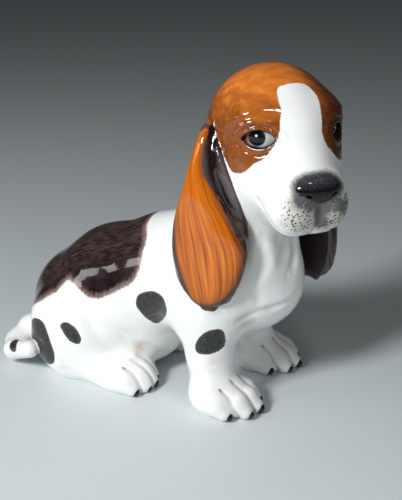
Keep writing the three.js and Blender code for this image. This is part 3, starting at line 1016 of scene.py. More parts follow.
@dataclass
class Markings:
    """Where each colour is painted, as distances in millimetres for every corner of the skin."""

    clay: Clay
    body: Body
    head: Head
    ears: tuple[Leaf, ...]
    bare: Clay

    saddle: tuple = (
        (15, 170), (12, 163), (9, 159), (4, 155), (1, 148), (1, 141), (0, 133), (2, 122), (8, 112), (19, 104),
        (30, 97), (39, 92), (46, 90), (54, 90), (61, 93), (69, 97), (77, 100), (82, 100), (87, 94), (90, 89),
        (97, 85), (105, 79), (114, 73), (127, 63), (142, 50), (165, 45), (180, 60), (160, 140), (95, 200), (35, 205),
    )
    face: tuple = (
        (-10, 51), (6, 52), (21, 49), (25, 41), (24, 33), (20, 25), (15, 13), (12, 5), (14, -4), (21, -11),
        (27, -16), (38, -20), (48, -25), (58, -27), (68, -25), (80, -14), (100, -16), (130, -32), (185, -40),
        (185, -95), (-185, -95), (-185, -40), (-130, -32), (-100, -16), (-80, -12), (-72, -19), (-65, -25),
        (-61, -27), (-54, -26), (-49, -24), (-44, -20), (-40, -16), (-34, -13), (-30, -9), (-27, -4), (-24, 1),
        (-22, 7), (-21, 16), (-20, 26), (-22, 35), (-23, 42), (-21, 48),
    )
    side_spots: tuple = (
        ((5, 91), (3, 101), (-3, 106), (-13, 110), (-22, 110), (-29, 107), (-32, 97), (-28, 87), (-14, 72),
         (-8, 72), (-2, 78), (3, 86)),
        ((-62, 69), (-68, 80), (-77, 87), (-86, 87), (-88, 78), (-86, 67), (-80, 62), (-72, 60), (-63, 61)),
        ((79, 63), (74, 67), (68, 66), (62, 62), (58, 55), (57, 50), (60, 45), (65, 46), (70, 49), (77, 59)),
        ((117, 59), (106, 63), (98, 61), (94, 55), (91, 47), (89, 38), (87, 28), (90, 18), (102, 12), (116, 9),
         (124, 22), (125, 34), (123, 48)),
    )
    spots: tuple = (
        ((-73, 138, 25), (12, 9, 6)),
        ((60, -12, 91), (20, 17, 18)), ((72, 72, 58), (22, 11, 12)), ((68, -74, 76), (22, 14, 15)),
        ((76, 110, 34), (22, 12, 20)),
    )
    stains: tuple = (
        ((-37, -122, 172), 7), ((-30, -124, 153), 8), ((-35, -115, 103), 7), ((-45, -101, 92), 8),
        ((-43, 11, 40), 8), ((-24, 0, 26), 10), ((-54, 19, 54), 8), ((-65, -81, 53), 8), ((-78, 79, 22), 7),
        ((33, -124, 150), 9), ((45, -95, 80), 10), ((50, 6, 36), 12),
    )
    channel: tuple = (
        (-58, -73, 266), (-61, -75, 260), (-65, -76, 251), (-68, -78, 241), (-70, -80, 232), (-69, -84, 223),
        (-66, -88, 211), (-66, -92, 201), (-66, -98, 191), (-66, -103, 181),
    )
    flap: tuple = (
        (-70, 272), (-70, 256), (-69, 244), (-71, 232), (-76.5, 222.5), (-83, 211), (-91.5, 196.5), (-99, 183.5),
        (-106, 170), (-107, 156), (-103.5, 140), (-96, 127.5), (-84.5, 116.5), (-73, 114), (-63, 117), (-54, 131),
        (-48, 147), (-45, 163), (-44, 178), (-42, 190), (-40, 205), (-45, 230), (-50, 250), (-52, 275),
    )
    muzzle_front: tuple = (
        (0, -20), (14, -22), (22, -27), (27, -36), (31, -44), (33, -53), (31, -62), (25, -69), (14, -72), (0, -73),
        (-14, -72), (-25, -69), (-31, -62), (-33, -53), (-31, -44), (-27, -36), (-22, -27), (-14, -22),
    )
    smudges: tuple = (
        ((-18, -87, -40), 7), ((-11, -88, -44), 7), ((2, -86, -49), 8), ((14, -88, -47), 7), ((23, -86, -51), 7),
        ((3, -84, -62), 6),
    )
    cap_reach: float = 74.0
    hollow_reach: float = 7.0
    muzzle_from: float = 55.0
    toes_below: float = 45.0
    lid_reach: float = 25.0
    streak_length: float = 40.0
    streak_slant: float = 0.22

    def traits(self, points: Cloud) -> dict[str, np.ndarray]:
        """Every paint distance at the given points.

        Args:
            points: where it is read.

        Returns:
            The values of each trait, by its name.
        """
        local = into_head(points)
        flat = np.hypot(local[:, 0], local[:, 1])
        angles = np.degrees(np.stack([np.arctan2(local[:, 0], -local[:, 1]), np.arctan2(local[:, 2], flat)], 1))
        cap = -self.outlined(self.face, angles)
        outward = slope(self.clay.distance, points)
        outward /= np.maximum(np.linalg.norm(outward, axis=1, keepdims=True), 1e-6)
        return {
            "saddle": self.outlined(self.saddle, points[:, 1:]),
            "cap": np.minimum(cap, self.cap_reach - np.linalg.norm(local, axis=1)),
            "far_side": local[:, 0],
            "rise": angles[:, 1],
            "spot": self.spotted(points),
            "stain": self.stained(points, self.stains),
            "hollow": 1 - self.clay.distance(points + outward * self.hollow_reach) / self.hollow_reach,
            "groove": self.grooves(points),
            "eye": self.eyes(points),
            "muzzle": np.minimum(self.outlined(self.muzzle_front, local[:, [0, 2]]), -local[:, 1] - self.muzzle_from),
            "smudge": self.stained(local, self.smudges),
            "wash": self.nose_wash(local),
            **self.ear_traits(points, outward),
        }

    @staticmethod
    def outlined(outline: Sequence[Vec], flat: Cloud) -> np.ndarray:
        """How far inside a rounded outline each plan point is."""
        return wire(rounded(np.array(outline, float), 4), flat)

    @staticmethod
    def stained(points: Cloud, stains: Sequence[tuple[Vec, float]]) -> np.ndarray:
        """How strongly soft round stains colour each point.

        Args:
            points: where it is read.
            stains: each stain's middle and radius.

        Returns:
            A share from 0 to 1 for each point.
        """
        share = np.zeros(len(points))
        for centre, radius in stains:
            gap = np.linalg.norm(points - np.array(centre, float), axis=1)
            share = np.maximum(share, bump(gap, 0, radius))
        return share

    def spotted(self, points: Cloud) -> np.ndarray:
        """How far inside the nearest spot each point is.

        Args:
            points: where it is read.

        Returns:
            A distance for each point, negative outside.
        """
        best = np.full(len(points), -AWAY)
        right = points[:, 0] < -25
        tail = np.min([mass.distance(points[right]) for mass in self.body.tail()], 0)
        for outline in self.side_spots:
            found = np.minimum(self.outlined(outline, points[right][:, 1:]), (tail - 1.0) * 2)
            best[right] = np.maximum(best[right], found)
        for centre, radii in self.spots:
            share = np.linalg.norm((points - centre) / np.array(radii, float), axis=1)
            best = np.maximum(best, (1 - share) * min(radii))
        return best

    def grooves(self, points: Cloud) -> np.ndarray:
        """Distance from the nearest valley between two toes.

        Args:
            points: where it is read.

        Returns:
            A distance for each point.
        """
        best = np.full(len(points), AWAY)
        low = points[:, 2] < self.toes_below
        for stroke in self.bare.strokes[-len(self.body.valleys()) - len(self.head.strokes()):]:
            if not stroke.in_head:
                best[low] = np.minimum(best[low], nearest(points[low], stroke.line))
        return best

    def eyes(self, points: Cloud) -> np.ndarray:
        """Distance outside the rim of the nearer eye opening.

        Args:
            points: where it is read.

        Returns:
            A distance for each point.
        """
        best = np.full(len(points), AWAY)
        for lid in self.head.lids():
            near = np.abs(lid.local(points)[1]) < self.lid_reach
            best = np.where(near, np.minimum(best, lid.rim(points)), best)
        return best

    def nose_wash(self, local: Cloud) -> np.ndarray:
        """Distance from the nose and the groove under it.

        Args:
            local: points in the head's frame.

        Returns:
            A distance for each point.
        """
        nose = Ball(self.head.nose, self.head.nose_radii)
        below = Limb((0, -86, -46), (0, -86, -66), 4, 1)
        return np.minimum(nose.distance(local), below.distance(local))

    def ear_traits(self, points: Cloud, outward: Cloud) -> dict[str, np.ndarray]:
        """Which corners are ear, and where on the leaf they lie.

        Args:
            points: where it is read.
            outward: the skin's direction there.

        Returns:
            The ears' traits, by their names.
        """
        bare = self.bare.distance(points)
        gaps = [shape.distance(points) for shape in self.ears]
        ear = bare - np.min(gaps, 0)
        leaf = np.zeros((len(points), 3))
        rim = np.full(len(points), AWAY)
        for shape, gap in zip(self.ears, gaps):
            here = gap <= np.min(gaps, 0)
            across, _, width = shape.place(points)
            along = (shape.stations[-1, 0] - points[:, 2]) / self.streak_length
            share = np.clip(across / width, -1.2, 1.2) - self.streak_slant * along
            facing = outward[:, 0] * shape.out[0] + outward[:, 1] * shape.out[1]
            tip = points[:, 2] - shape.stations[0, 0] + shape.edge
            inset = np.minimum(width - np.abs(across), tip * 0.8)
            leaf[here] = np.stack([share, along, facing], 1)[here]
            rim[here] = inset[here]
        panel, flap, _ = gaps
        right = points[:, 0] < 0
        inside = rim.copy()
        inside[right] = self.outlined(self.flap, points[right][:, 1:])
        line = rounded(np.array(self.channel, float), 4, closed=False)
        return {
            "ear": ear,
            "leaf": leaf,
            "rim": rim,
            "flap": inside,
            "panel": np.where(right, flap - panel, -9.0),
            "channel": nearest(points, line),
        }


# Finishes


def linear(code: str) -> tuple[float, float, float, float]:
    """A colour for Blender from its sRGB hex code."""
    parts = [int(code[start:start + 2], 16) / 255 for start in (1, 3, 5)]
    return (*(part / 12.92 if part <= 0.04045 else ((part + 0.055) / 1.055) ** 2.4 for part in parts), 1.0)


def add_node(tree: bpy.types.NodeTree, kind: str, settings: dict | None = None,
             links: dict | None = None) -> bpy.types.Node:
    """Add a node with its settings and links.

    Args:
        tree: the tree that it joins.
        kind: its type.
        settings: properties by name, and socket values by name or index.
        links: output sockets by the name or index of the input that they feed.

    Returns:
        The node.
    """
    node = tree.nodes.new(kind)
    for name, value in (settings or {}).items():
        if isinstance(name, str) and hasattr(node, name):
            setattr(node, name, value)
        else:
            node.inputs[name].default_value = value
    for name, source in (links or {}).items():
        tree.links.new(source, node.inputs[name])
    return node


def bare_material(name: str) -> tuple[bpy.types.Material, bpy.types.NodeTree]:
    """A material whose node tree is empty, and the tree.

    Args:
        name: the material's name.

    Returns:
        Both.
    """
    material = bpy.data.materials.new(name)
    material.use_nodes = True
    material.node_tree.nodes.clear()
    return material, material.node_tree


def fire(piece: bpy.types.Object, material: bpy.types.Material, shader: bpy.types.Node) -> None:
    """Lead the shader to the material's output and put the material on the piece."""
    add_node(material.node_tree, "ShaderNodeOutputMaterial", links={"Surface": shader.outputs["BSDF"]})
    piece.data.materials.append(material)


class Gloss(Enum):
    """How rough the fired glaze is: the lower, the sharper the windows that it mirrors."""

    CLEAR = 0.07
    NOSE = 0.1
    EYE = 0.04


@dataclass(frozen=True)
class GlazedEarthenware:
    """White earthenware, brushed with underglaze colours and fired under a clear glossy glaze.

    The white ground is faintly cool, the dark colours are thin and streaky at their edges, and the
    white is a little warmer in the hollows, partly glaze pooled there and partly painted shade.
    """

    white: str = "#F6F7F6"
    # warmer white in the hollows: partly pooled glaze, partly painted shade
    pooled_glaze_and_shade: str = "#E0D6C4"
    ochre: str = "#B28A55"
    saddle_dark: str = "#1D1618"
    saddle_mid: str = "#342829"
    # brown streaks along the back, and painted light where the top of the back catches it
    saddle_brown_and_painted_light: str = "#5F4841"
    saddle_fringe: str = "#9C817B"
    spot_dark: str = "#1F1D20"
    spot_light: str = "#4A4647"
    # painted shade: darker russet lower down the head
    cap_low_shade: str = "#7A3F1A"
    cap_mid: str = "#C66A28"
    cap_light: str = "#F09438"
    # dark brown of the mottling, and painted shade on the far side of the head
    cap_mottle_and_shade: str = "#47200C"
    ear_dark: str = "#7C3808"
    ear_mid: str = "#C46210"
    ear_light: str = "#E68D2A"
    ear_rim: str = "#4B3429"
    ear_inside: str = "#1B1110"
    ear_panel: str = "#6A5F5E"
    lid: str = "#2B2524"
    groove: str = "#66625F"
    cream: str = "#C4BEB0"
    whisker: str = "#34312F"
    nose_grey: str = "#5E5E60"
    # A pixel of the render is about 1 mm here. Sizes were set wide enough to show.
    edge_wobble_mm: float = 4.0
    streak_mm: float = 1.6
    whisker_mm: float = 2.7

    def dress(self, piece: bpy.types.Object) -> None:
        """Paint and glaze the skin.

        Args:
            piece: the skin.
        """
        material, tree = bare_material("glazed_painted_earthenware")
        trait = {
            name: add_node(tree, "ShaderNodeAttribute", {"attribute_name": name}).outputs["Fac"]
            for name in ("saddle", "cap", "far_side", "rise", "spot", "stain", "hollow", "groove", "eye", "muzzle",
                         "smudge", "wash", "ear", "rim", "flap", "panel", "channel")
        }
        leaf = add_node(tree, "ShaderNodeAttribute", {"attribute_name": "leaf"}).outputs["Vector"]
        place = add_node(tree, "ShaderNodeTexCoord").outputs["Object"]
        coarse = add_node(tree, "ShaderNodeTexNoise", {"Scale": METRE / 9, "Detail": 3, "Roughness": 0.6},
                          {"Vector": place}).outputs["Fac"]
        fine = add_node(tree, "ShaderNodeTexNoise", {"Scale": METRE / self.streak_mm, "Detail": 2},
                        {"Vector": place}).outputs["Fac"]

        def spread(source: bpy.types.NodeSocket, low: float, high: float,
                   wobble: bpy.types.NodeSocket | None = None, amount: float = 0.0) -> bpy.types.NodeSocket:
            """A share from 0 to 1 between two distances, its edge moved by a brush noise.

            Args:
                source: what is read.
                low: where the share is 0.
                high: where it is 1.
                wobble: the brush noise.
                amount: how far the noise moves the edge.

            Returns:
                The share.
            """
            if wobble is not None:
                drift = add_node(tree, "ShaderNodeMath", {"operation": "MULTIPLY_ADD", 1: amount, 2: -amount / 2},
                                 {0: wobble}).outputs[0]
                source = add_node(tree, "ShaderNodeMath", {"operation": "ADD"}, {0: source, 1: drift}).outputs[0]
            return add_node(tree, "ShaderNodeMapRange", {"From Min": low, "From Max": high},
                            {"Value": source}).outputs["Result"]

        def both(one: bpy.types.NodeSocket, other: bpy.types.NodeSocket,
                 operation: str = "MULTIPLY") -> bpy.types.NodeSocket:
            """Two shares taken together."""
            return add_node(tree, "ShaderNodeMath", {"operation": operation}, {0: one, 1: other}).outputs[0]

        def over(below: object, above: object, share: bpy.types.NodeSocket) -> bpy.types.NodeSocket:
            """One colour brushed over another.

            Args:
                below: the lower colour, a hex code or a socket.
                above: the upper one.
                share: how far the upper one covers.

            Returns:
                The mixed colour.
            """
            settings, links = {"data_type": "RGBA"}, {0: share}
            for index, colour in ((6, below), (7, above)):
                if isinstance(colour, str):
                    settings[index] = linear(colour)
                else:
                    links[index] = colour
            return add_node(tree, "ShaderNodeMix", settings, links).outputs[2]

        def brushed(turn: Vec, length: float, width_mm: float, rough: float = 0.65) -> bpy.types.NodeSocket:
            """Streaks of a brush: a noise drawn out along the y of a turned frame.

            Args:
                turn: the frame's rotation in degrees.
                length: how many times longer than wide.
                width_mm: how wide.
                rough: how ragged.

            Returns:
                The noise, about 0.5.
            """
            drawn = add_node(tree, "ShaderNodeMapping",
                             {"vector_type": "TEXTURE", "Rotation": tuple(math.radians(a) for a in turn),
                              "Scale": (1, length, 1)}, {"Vector": place}).outputs["Vector"]
            return add_node(tree, "ShaderNodeTexNoise", {"Scale": METRE / width_mm, "Detail": 3, "Roughness": rough},
                            {"Vector": drawn}).outputs["Fac"]

        def on_leaf(across: float, along: float, detail: int) -> bpy.types.NodeSocket:
            """Streaks that run down an ear.

            Args:
                across: how many across its half width.
                along: how many in each streak length.
                detail: how many finer layers.

            Returns:
                The noise, about 0.5.
            """
            drawn = add_node(tree, "ShaderNodeMapping", {"Scale": (across, along, 0.1)},
                             {"Vector": leaf}).outputs["Vector"]
            return add_node(tree, "ShaderNodeTexNoise", {"Scale": 1.0, "Detail": detail, "Roughness": 0.6},
                            {"Vector": drawn}).outputs["Fac"]

        hair = brushed((20, 0, 40.6), 5, 1.6)
        sweep = brushed((10, 0, 40.6), 4, 7, 0.5)
        back = brushed((-26, 0, 0), 6, 2.2)
        pelt = brushed((-26, 0, 0), 2, 13, 0.6)
        fringe = brushed((65, 0, 0), 3, 1.5)
        blotch = add_node(tree, "ShaderNodeTexNoise", {"Scale": METRE / 26, "Detail": 4, "Roughness": 0.6},
                          {"Vector": place}).outputs["Fac"]
        strand, band = on_leaf(16, 0.5, 2), on_leaf(4.5, 0.4, 2)
        facing = add_node(tree, "ShaderNodeSeparateXYZ", links={0: leaf}).outputs["Z"]
        off_spine = add_node(tree, "ShaderNodeMath", {"operation": "ABSOLUTE"},
                             {0: add_node(tree, "ShaderNodeSeparateXYZ", links={0: place}).outputs["X"]}).outputs[0]

        # White ground: warmer in the hollows, partly clear glaze pooled there and partly painted shade.
        colour = over(self.white, self.pooled_glaze_and_shade, both(spread(trait["hollow"], 0.2, 0.9), spread(coarse, 0.2, 0.9)))
        colour = over(colour, self.ochre, both(trait["stain"], spread(blotch, 0.36, 0.8)))
        colour = over(colour, self.groove, spread(trait["groove"], 1.9, 0.5, coarse, 0.6))

        # Muzzle: a grey-cream wash with short dark whisker dots and smudges under the nose.
        bristly = spread(trait["muzzle"], -1, 6, coarse, 5)
        colour = over(colour, self.cream, both(bristly, spread(fine, -0.6, 0.8)))
        dots = add_node(tree, "ShaderNodeTexVoronoi", {"Scale": METRE / self.whisker_mm, "Randomness": 0.9},
                        {"Vector": place}).outputs["Distance"]
        colour = over(colour, self.whisker, both(bristly, spread(dots, 0.42, 0.24)))
        colour = over(colour, self.nose_grey, both(spread(trait["smudge"], 0.05, 0.6), spread(fine, 0.0, 0.5)))
        colour = over(colour, self.nose_grey, spread(trait["wash"], 4.0, 0.5, fine, 2.5))

        # Saddle and spots: thin aubergine brown, purple-black where the brush went twice, thin at the edge, painted
        # light on top.
        saddle = over(self.saddle_mid, self.saddle_dark, spread(pelt, 0.38, 0.56))
        # Lighter brown along the top of the back: partly brushed streaks, partly painted light catching the back.
        saddle = over(saddle, self.saddle_brown_and_painted_light, both(spread(off_spine, 0.056, 0.036), spread(back, 0.42, 0.78)))
        saddle = over(saddle, self.saddle_dark, both(spread(back, 0.5, 0.3), spread(pelt, 0.3, 0.62)))
        saddle = over(saddle, self.saddle_fringe, spread(trait["saddle"], 7.0, 0.5, fringe, 10))
        colour = over(colour, saddle, spread(trait["saddle"], 0, 2.0, fringe, self.edge_wobble_mm))
        spot = over(self.spot_light, self.spot_dark,
                    both(spread(trait["spot"], 0.3, 3.5, fringe, 3), spread(fringe, 0.2, 0.6)))
        colour = over(colour, spot, spread(trait["spot"], 0, 0.7, fringe, 1.6))

        # Cap: russet on the skull and cheeks, lighter where the brush lifted, mottled low on the cheeks; darker lower
        # down and on the far side is painted shade.
        cap = over(self.cap_mid, self.cap_light, both(spread(sweep, 0.38, 0.68), spread(hair, 0.1, 0.8)))
        # Painted shade: the cap darkens lower down the head, away from the top where the light falls.
        cap = over(cap, self.cap_low_shade, both(spread(trait["rise"], 46, 12, sweep, 30), spread(hair, -0.5, 0.75)))
        mottle = both(spread(trait["rise"], 34, 14), spread(blotch, 0.44, 0.8))
        cap = over(cap, self.cap_mottle_and_shade, both(mottle, spread(hair, -0.6, 0.9)))
        # Painted shade: the far side of the head, turned away from the key light, is painted darker.
        cap = over(cap, self.cap_mottle_and_shade, both(spread(trait["far_side"], 8, 30), spread(hair, -0.3, 0.6)))
        colour = over(colour, cap, spread(trait["cap"], 0, 1.0, hair, 2.2))

        # Ears: orange strands on the outer face, a dark rim with painted shade inside the front margin, and a grey and
        # black inner face with a near-black channel, partly dark paint and partly painted shade.
        outer = over(self.ear_mid, self.ear_light, both(spread(strand, 0.42, 0.72), spread(band, 0.4, 0.62)))
        outer = over(outer, self.ear_dark, both(spread(strand, 0.56, 0.3), spread(band, 0.62, 0.36)))
        # Darker inside the flap's margin: the rim's brushed dark gradient, and painted shade at the front margin.
        outer = over(outer, self.ear_dark, both(spread(trait["flap"], 10, 0, band, 6), spread(strand, 0.8, 0.2)))
        outer = over(outer, self.ear_rim, spread(trait["flap"], 1.2, -1.4, strand, 3))
        inner = over(self.ear_inside, self.ear_panel, both(spread(strand, 0.42, 0.8), spread(trait["rim"], 5, 1)))
        panel = over(self.ear_panel, self.ear_inside, both(spread(trait["rim"], 3, 0.5), spread(strand, 0.2, 0.6)))
        # Near-black toward the ear's channel: partly the inner ear's dark paint, partly painted shade in the hollow.
        panel = over(panel, self.ear_inside, spread(trait["channel"], 12, 3, strand, 6))
        colour_of_leaf = over(inner, outer, spread(facing, -0.15, 0.2))
        colour_of_leaf = over(colour_of_leaf, panel, spread(trait["panel"], -0.6, 0.6))
        # Near-black along the channel itself: partly dark paint, partly painted shade in the hollow.
        colour_of_leaf = over(colour_of_leaf, self.ear_inside, spread(trait["channel"], 3.6, 1.8, strand, 2))
        colour = over(colour, colour_of_leaf, spread(trait["ear"], -0.2, 0.5))
        colour = over(colour, self.lid, spread(trait["eye"], 1.4, 0.6))

        ripple = add_node(tree, "ShaderNodeTexNoise", {"Scale": METRE / 7, "Detail": 1}, {"Vector": place})
        swell = add_node(tree, "ShaderNodeBump", {"Strength": 0.12, "Distance": 0.0006},
                         {"Height": ripple.outputs["Fac"]})
        shader = add_node(tree, "ShaderNodeBsdfPrincipled",
                          {"Roughness": Gloss.CLEAR.value, "IOR": 1.5, "Coat Weight": 0.1, "Coat Roughness": 0.03},
                          {"Base Color": colour, "Normal": swell.outputs["Normal"]})
        fire(piece, material, shader)


@dataclass(frozen=True)
class EyeGlaze:
    """The painted eye: a blue-black iris on a pale ball, pink at its outer corner, very glossy."""

    iris: str = "#0C0F16"
    ring: str = "#272E39"
    white: str = "#D0D1D0"
    pink: str = "#A9544C"
    spark: str = "#F4F6F7"

    def dress(self, piece: bpy.types.Object) -> None:
        """Paint and glaze an eye.

        Args:
            piece: the eyeball.
        """
        material, tree = bare_material("glazed_painted_eye")
        colour = None
        layers = ((self.white, None, 0, 0), (self.pink, "corner", 0.0, 4.0), (self.ring, "iris", -0.4, 0.4),
                  (self.iris, "iris", 0.9, 2.2), (self.spark, "spark", -0.25, 0.25))
        for code, trait, low, high in layers:
            if trait is None:
                colour = add_node(tree, "ShaderNodeRGB").outputs[0]
                colour.default_value = linear(code)
                continue
            value = add_node(tree, "ShaderNodeAttribute", {"attribute_name": trait}).outputs["Fac"]
            share = add_node(tree, "ShaderNodeMapRange", {"From Min": low, "From Max": high}, {"Value": value})
            colour = add_node(tree, "ShaderNodeMix", {"data_type": "RGBA", 7: linear(code)},
                              {0: share.outputs["Result"], 6: colour}).outputs[2]
        shader = add_node(tree, "ShaderNodeBsdfPrincipled",
                          {"Roughness": Gloss.EYE.value, "IOR": 1.45},
                          {"Base Color": colour})
        fire(piece, material, shader)


@dataclass(frozen=True)
class BlackGlaze:
    """Black underglaze colour under the clear glaze, thin and speckled grey where it was dabbed."""

    black: str = "#070709"
    speck: str = "#6A6C6F"
    speck_mm: float = 0.9
    nail_thin: float = 0.15

    def dress(self, piece: bpy.types.Object, speckled: bool) -> None:
        """Glaze a nose or a nail.

        Args:
            piece: the nose or the nails.
            speckled: whether its upper side is dabbed thin.
        """
        material, tree = bare_material("glazed_black_nose" if speckled else "glazed_black_nail")
        place = add_node(tree, "ShaderNodeTexCoord").outputs["Object"]
        grain = add_node(tree, "ShaderNodeTexNoise", {"Scale": METRE / self.speck_mm, "Detail": 2},
                         {"Vector": place}).outputs["Fac"]
        share = add_node(tree, "ShaderNodeMapRange", {"From Min": 0.35, "From Max": 0.7, "To Max": 0.85},
                         {"Value": grain}).outputs["Result"]
        if speckled:
            thin = add_node(tree, "ShaderNodeAttribute", {"attribute_name": "thin"}).outputs["Fac"]
        else:
            thin = add_node(tree, "ShaderNodeValue").outputs[0]
            thin.default_value = self.nail_thin
        share = add_node(tree, "ShaderNodeMath", {"operation": "MULTIPLY"}, {0: share, 1: thin}).outputs[0]
        colour = add_node(tree, "ShaderNodeMix", {"data_type": "RGBA", 6: linear(self.black), 7: linear(self.speck)},
                          {0: share}).outputs[2]
        shader = add_node(tree, "ShaderNodeBsdfPrincipled", {"Roughness": Gloss.NOSE.value, "IOR": 1.5},
                          {"Base Color": colour})
        fire(piece, material, shader)


# Pieces


@dataclass
class Statue:
    """The whole statue: its skin, eyes, nose and nails."""

    body: Body = field(default_factory=Body)
    head: Head = field(default_factory=Head)
    ears: Ears = field(default_factory=Ears)
    fine: float = 1.69
    plain: float = 2.4
    quick_grid: float = 1.6
    eye_step: float = 0.7
    eye_room: float = 21.0
    nose_step: float = 0.9
    nose_room: float = 28.0
    nail_width: float = 4.3
    nail_length: float = 5.6
    nail_height: float = 4.6
    nail_set_back: float = 4.0
    nail_splay: float = 0.012
    nail_pitch: float = 0.35

    def clay(self, with_ears: bool) -> Clay:
        """The whole form, with or without its ears.

        Args:
            with_ears: whether the ears are on it.

        Returns:
            The form.
        """
        masses = [*self.body.masses(), *self.head.masses()]
        if with_ears:
            masses += self.ears.leaves()
        strokes = [*self.body.strokes(), *self.head.strokes()]
        if with_ears:
            strokes.append(Stroke(Markings.channel, 3.5, 3.0))
        return Clay(masses, strokes, [self.head.nose_seat()], self.head.lids())

    def skin(self) -> bpy.types.Object:
        """The painted skin, one surface over every part of the body.

        Returns:
            The skin.
        """
        grid = 1.0
        fine, plain = self.fine * grid, self.plain * grid
        clay = self.clay(with_ears=True)
        ticks = (
            spaced((-96, 92, fine * 1.1)),
            spaced((-200, -30, fine), (-30, 30, plain), (30, 185, plain)),
            spaced((-3, 40, fine), (40, 170, plain), (170, 326, fine)),
        )
        skin = Skin.of(clay, ticks)
        marks = Markings(clay, self.body, self.head, self.ears.leaves(), self.clay(False))
        piece = skin.piece("puppy_skin", marks.traits(skin.points))
        GlazedEarthenware().dress(piece)
        LOG.info("skin: %d triangles", len(skin.triangles))
        return piece

    def eye(self, side: int) -> bpy.types.Object:
        """One eye, seen through the opening of its lids.

        Args:
            side: RIGHT or LEFT.

        Returns:
            The painted ball.
        """
        lid = Lids(side)
        centre = from_head(np.array([[side * self.head.eyeball[0], *self.head.eyeball[1:]]]))[0]
        ball = Ball(centre, (self.head.eyeball_radius,) * 3)
        clay = EyeClay([ball], lid=lid)
        ticks = [np.arange(at - self.eye_room, at + self.eye_room, self.eye_step) for at in lid.centre]
        skin = Skin.of(clay, ticks)
        along, _, up = lid.local(skin.points)
        traits = {
            "iris": 7.3 - np.hypot(along - 1.9, up - 0.6),
            "corner": along - 6.0,
            "spark": 1.0 - np.hypot(along - 2.2, up - 2.2),
        }
        piece = skin.piece("eye_right_ball" if side == RIGHT else "eye_left_ball", traits)
        EyeGlaze().dress(piece)
        return piece

    def nose(self) -> bpy.types.Object:
        """The nose, with its two nostrils and the groove between them.

        Returns:
            The nose.
        """
        x, y, z = self.head.nose
        nostrils = [Ball((side * 12.5, y - 9, z - 4.5), (3.4, 4.5, 2.4), 1.5, (0, side * 25, 0), True, True)
                    for side in SIDES]
        masses = [Ball(self.head.nose, self.head.nose_radii, in_head=True), *nostrils]
        strokes = [Stroke([(0, y - 13, z + 1), (0, y - 13, z - 8), (0, y - 10, z - 15)], 0.7, 1.2, True)]
        clay = Clay(masses, strokes)
        spot = from_head(np.array([self.head.nose]))[0]
        ticks = [np.arange(at - self.nose_room, at + self.nose_room, self.nose_step) for at in spot]
        skin = Skin.of(clay, ticks)
        local = into_head(skin.points)
        piece = skin.piece("nose_pad", {"thin": np.clip((local[:, 2] - z - 1) / 9, 0, 1)})
        BlackGlaze().dress(piece, speckled=True)
        return piece

    def nails(self, name: str, paw: float, toes: Iterable[Vec], height: float) -> bpy.types.Object:
        """The four nails of one foot, copies of one nail set on the toes' ends by Geometry Nodes.

        Args:
            name: the piece's name.
            paw: where the foot is, across.
            toes: each toe's place across and its tip.
            height: height of the nails' middles.

        Returns:
            The nails as one plain mesh.
        """
        spots = [((paw + across, tip + self.nail_set_back, height), across) for across, tip in toes]
        mesh = bpy.data.meshes.new(name)
        mesh.from_pydata([tuple((np.array(spot) - STAND_CENTRE) / METRE) for spot, _ in spots], [], [])
        lean = mesh.attributes.new("lean", "FLOAT", "POINT")
        lean.data.foreach_set("value", [across * self.nail_splay for _, across in spots])
        piece = placed(name, mesh)
        tree = bpy.data.node_groups.new(name, "GeometryNodeTree")
        tree.interface.new_socket("Geometry", in_out="INPUT", socket_type="NodeSocketGeometry")
        tree.interface.new_socket("Geometry", in_out="OUTPUT", socket_type="NodeSocketGeometry")
        sizes = {"Width": self.nail_width, "Length": self.nail_length, "Height": self.nail_height}
        sockets = {
            key: tree.interface.new_socket(key, in_out="INPUT", socket_type="NodeSocketFloat") for key in sizes
        }
        given = add_node(tree, "NodeGroupInput").outputs
        ball = add_node(tree, "GeometryNodeMeshUVSphere", {"Segments": 24, "Rings": 16, "Radius": 1.0})
        size = add_node(tree, "ShaderNodeCombineXYZ",
                        links={0: given["Width"], 1: given["Length"], 2: given["Height"]})
        nail = add_node(tree, "GeometryNodeTransform",
                        links={"Geometry": ball.outputs["Mesh"], "Scale": size.outputs[0]})
        turn = add_node(tree, "ShaderNodeCombineXYZ", {0: self.nail_pitch}, {
            2: add_node(tree, "GeometryNodeInputNamedAttribute", {"data_type": "FLOAT", "Name": "lean"}).outputs[0]})
        vary = add_node(tree, "FunctionNodeRandomValue", {"data_type": "FLOAT", 2: 0.93, 3: 1.05, "Seed": 4})
        copies = add_node(tree, "GeometryNodeInstanceOnPoints", links={
            "Points": given["Geometry"], "Instance": nail.outputs["Geometry"],
            "Rotation": turn.outputs[0], "Scale": vary.outputs[1]})
        real = add_node(tree, "GeometryNodeRealizeInstances", links={"Geometry": copies.outputs["Instances"]})
        smooth = add_node(tree, "GeometryNodeSetShadeSmooth", links={"Geometry": real.outputs["Geometry"]})
        BlackGlaze().dress(piece, speckled=False)
        done = add_node(tree, "GeometryNodeSetMaterial", {"Material": piece.data.materials[0]},
                        {"Geometry": smooth.outputs["Geometry"]})
        add_node(tree, "NodeGroupOutput", links={"Geometry": done.outputs["Geometry"]})
        modifier = piece.modifiers.new("nails", "NODES")
        modifier.node_group = tree
        for key, value in sizes.items():
            modifier[sockets[key].identifier] = value / METRE
        graph = bpy.context.evaluated_depsgraph_get()
        made = bpy.data.meshes.new_from_object(piece.evaluated_get(graph), depsgraph=graph)
        piece.modifiers.remove(modifier)
        piece.data = made
        return piece


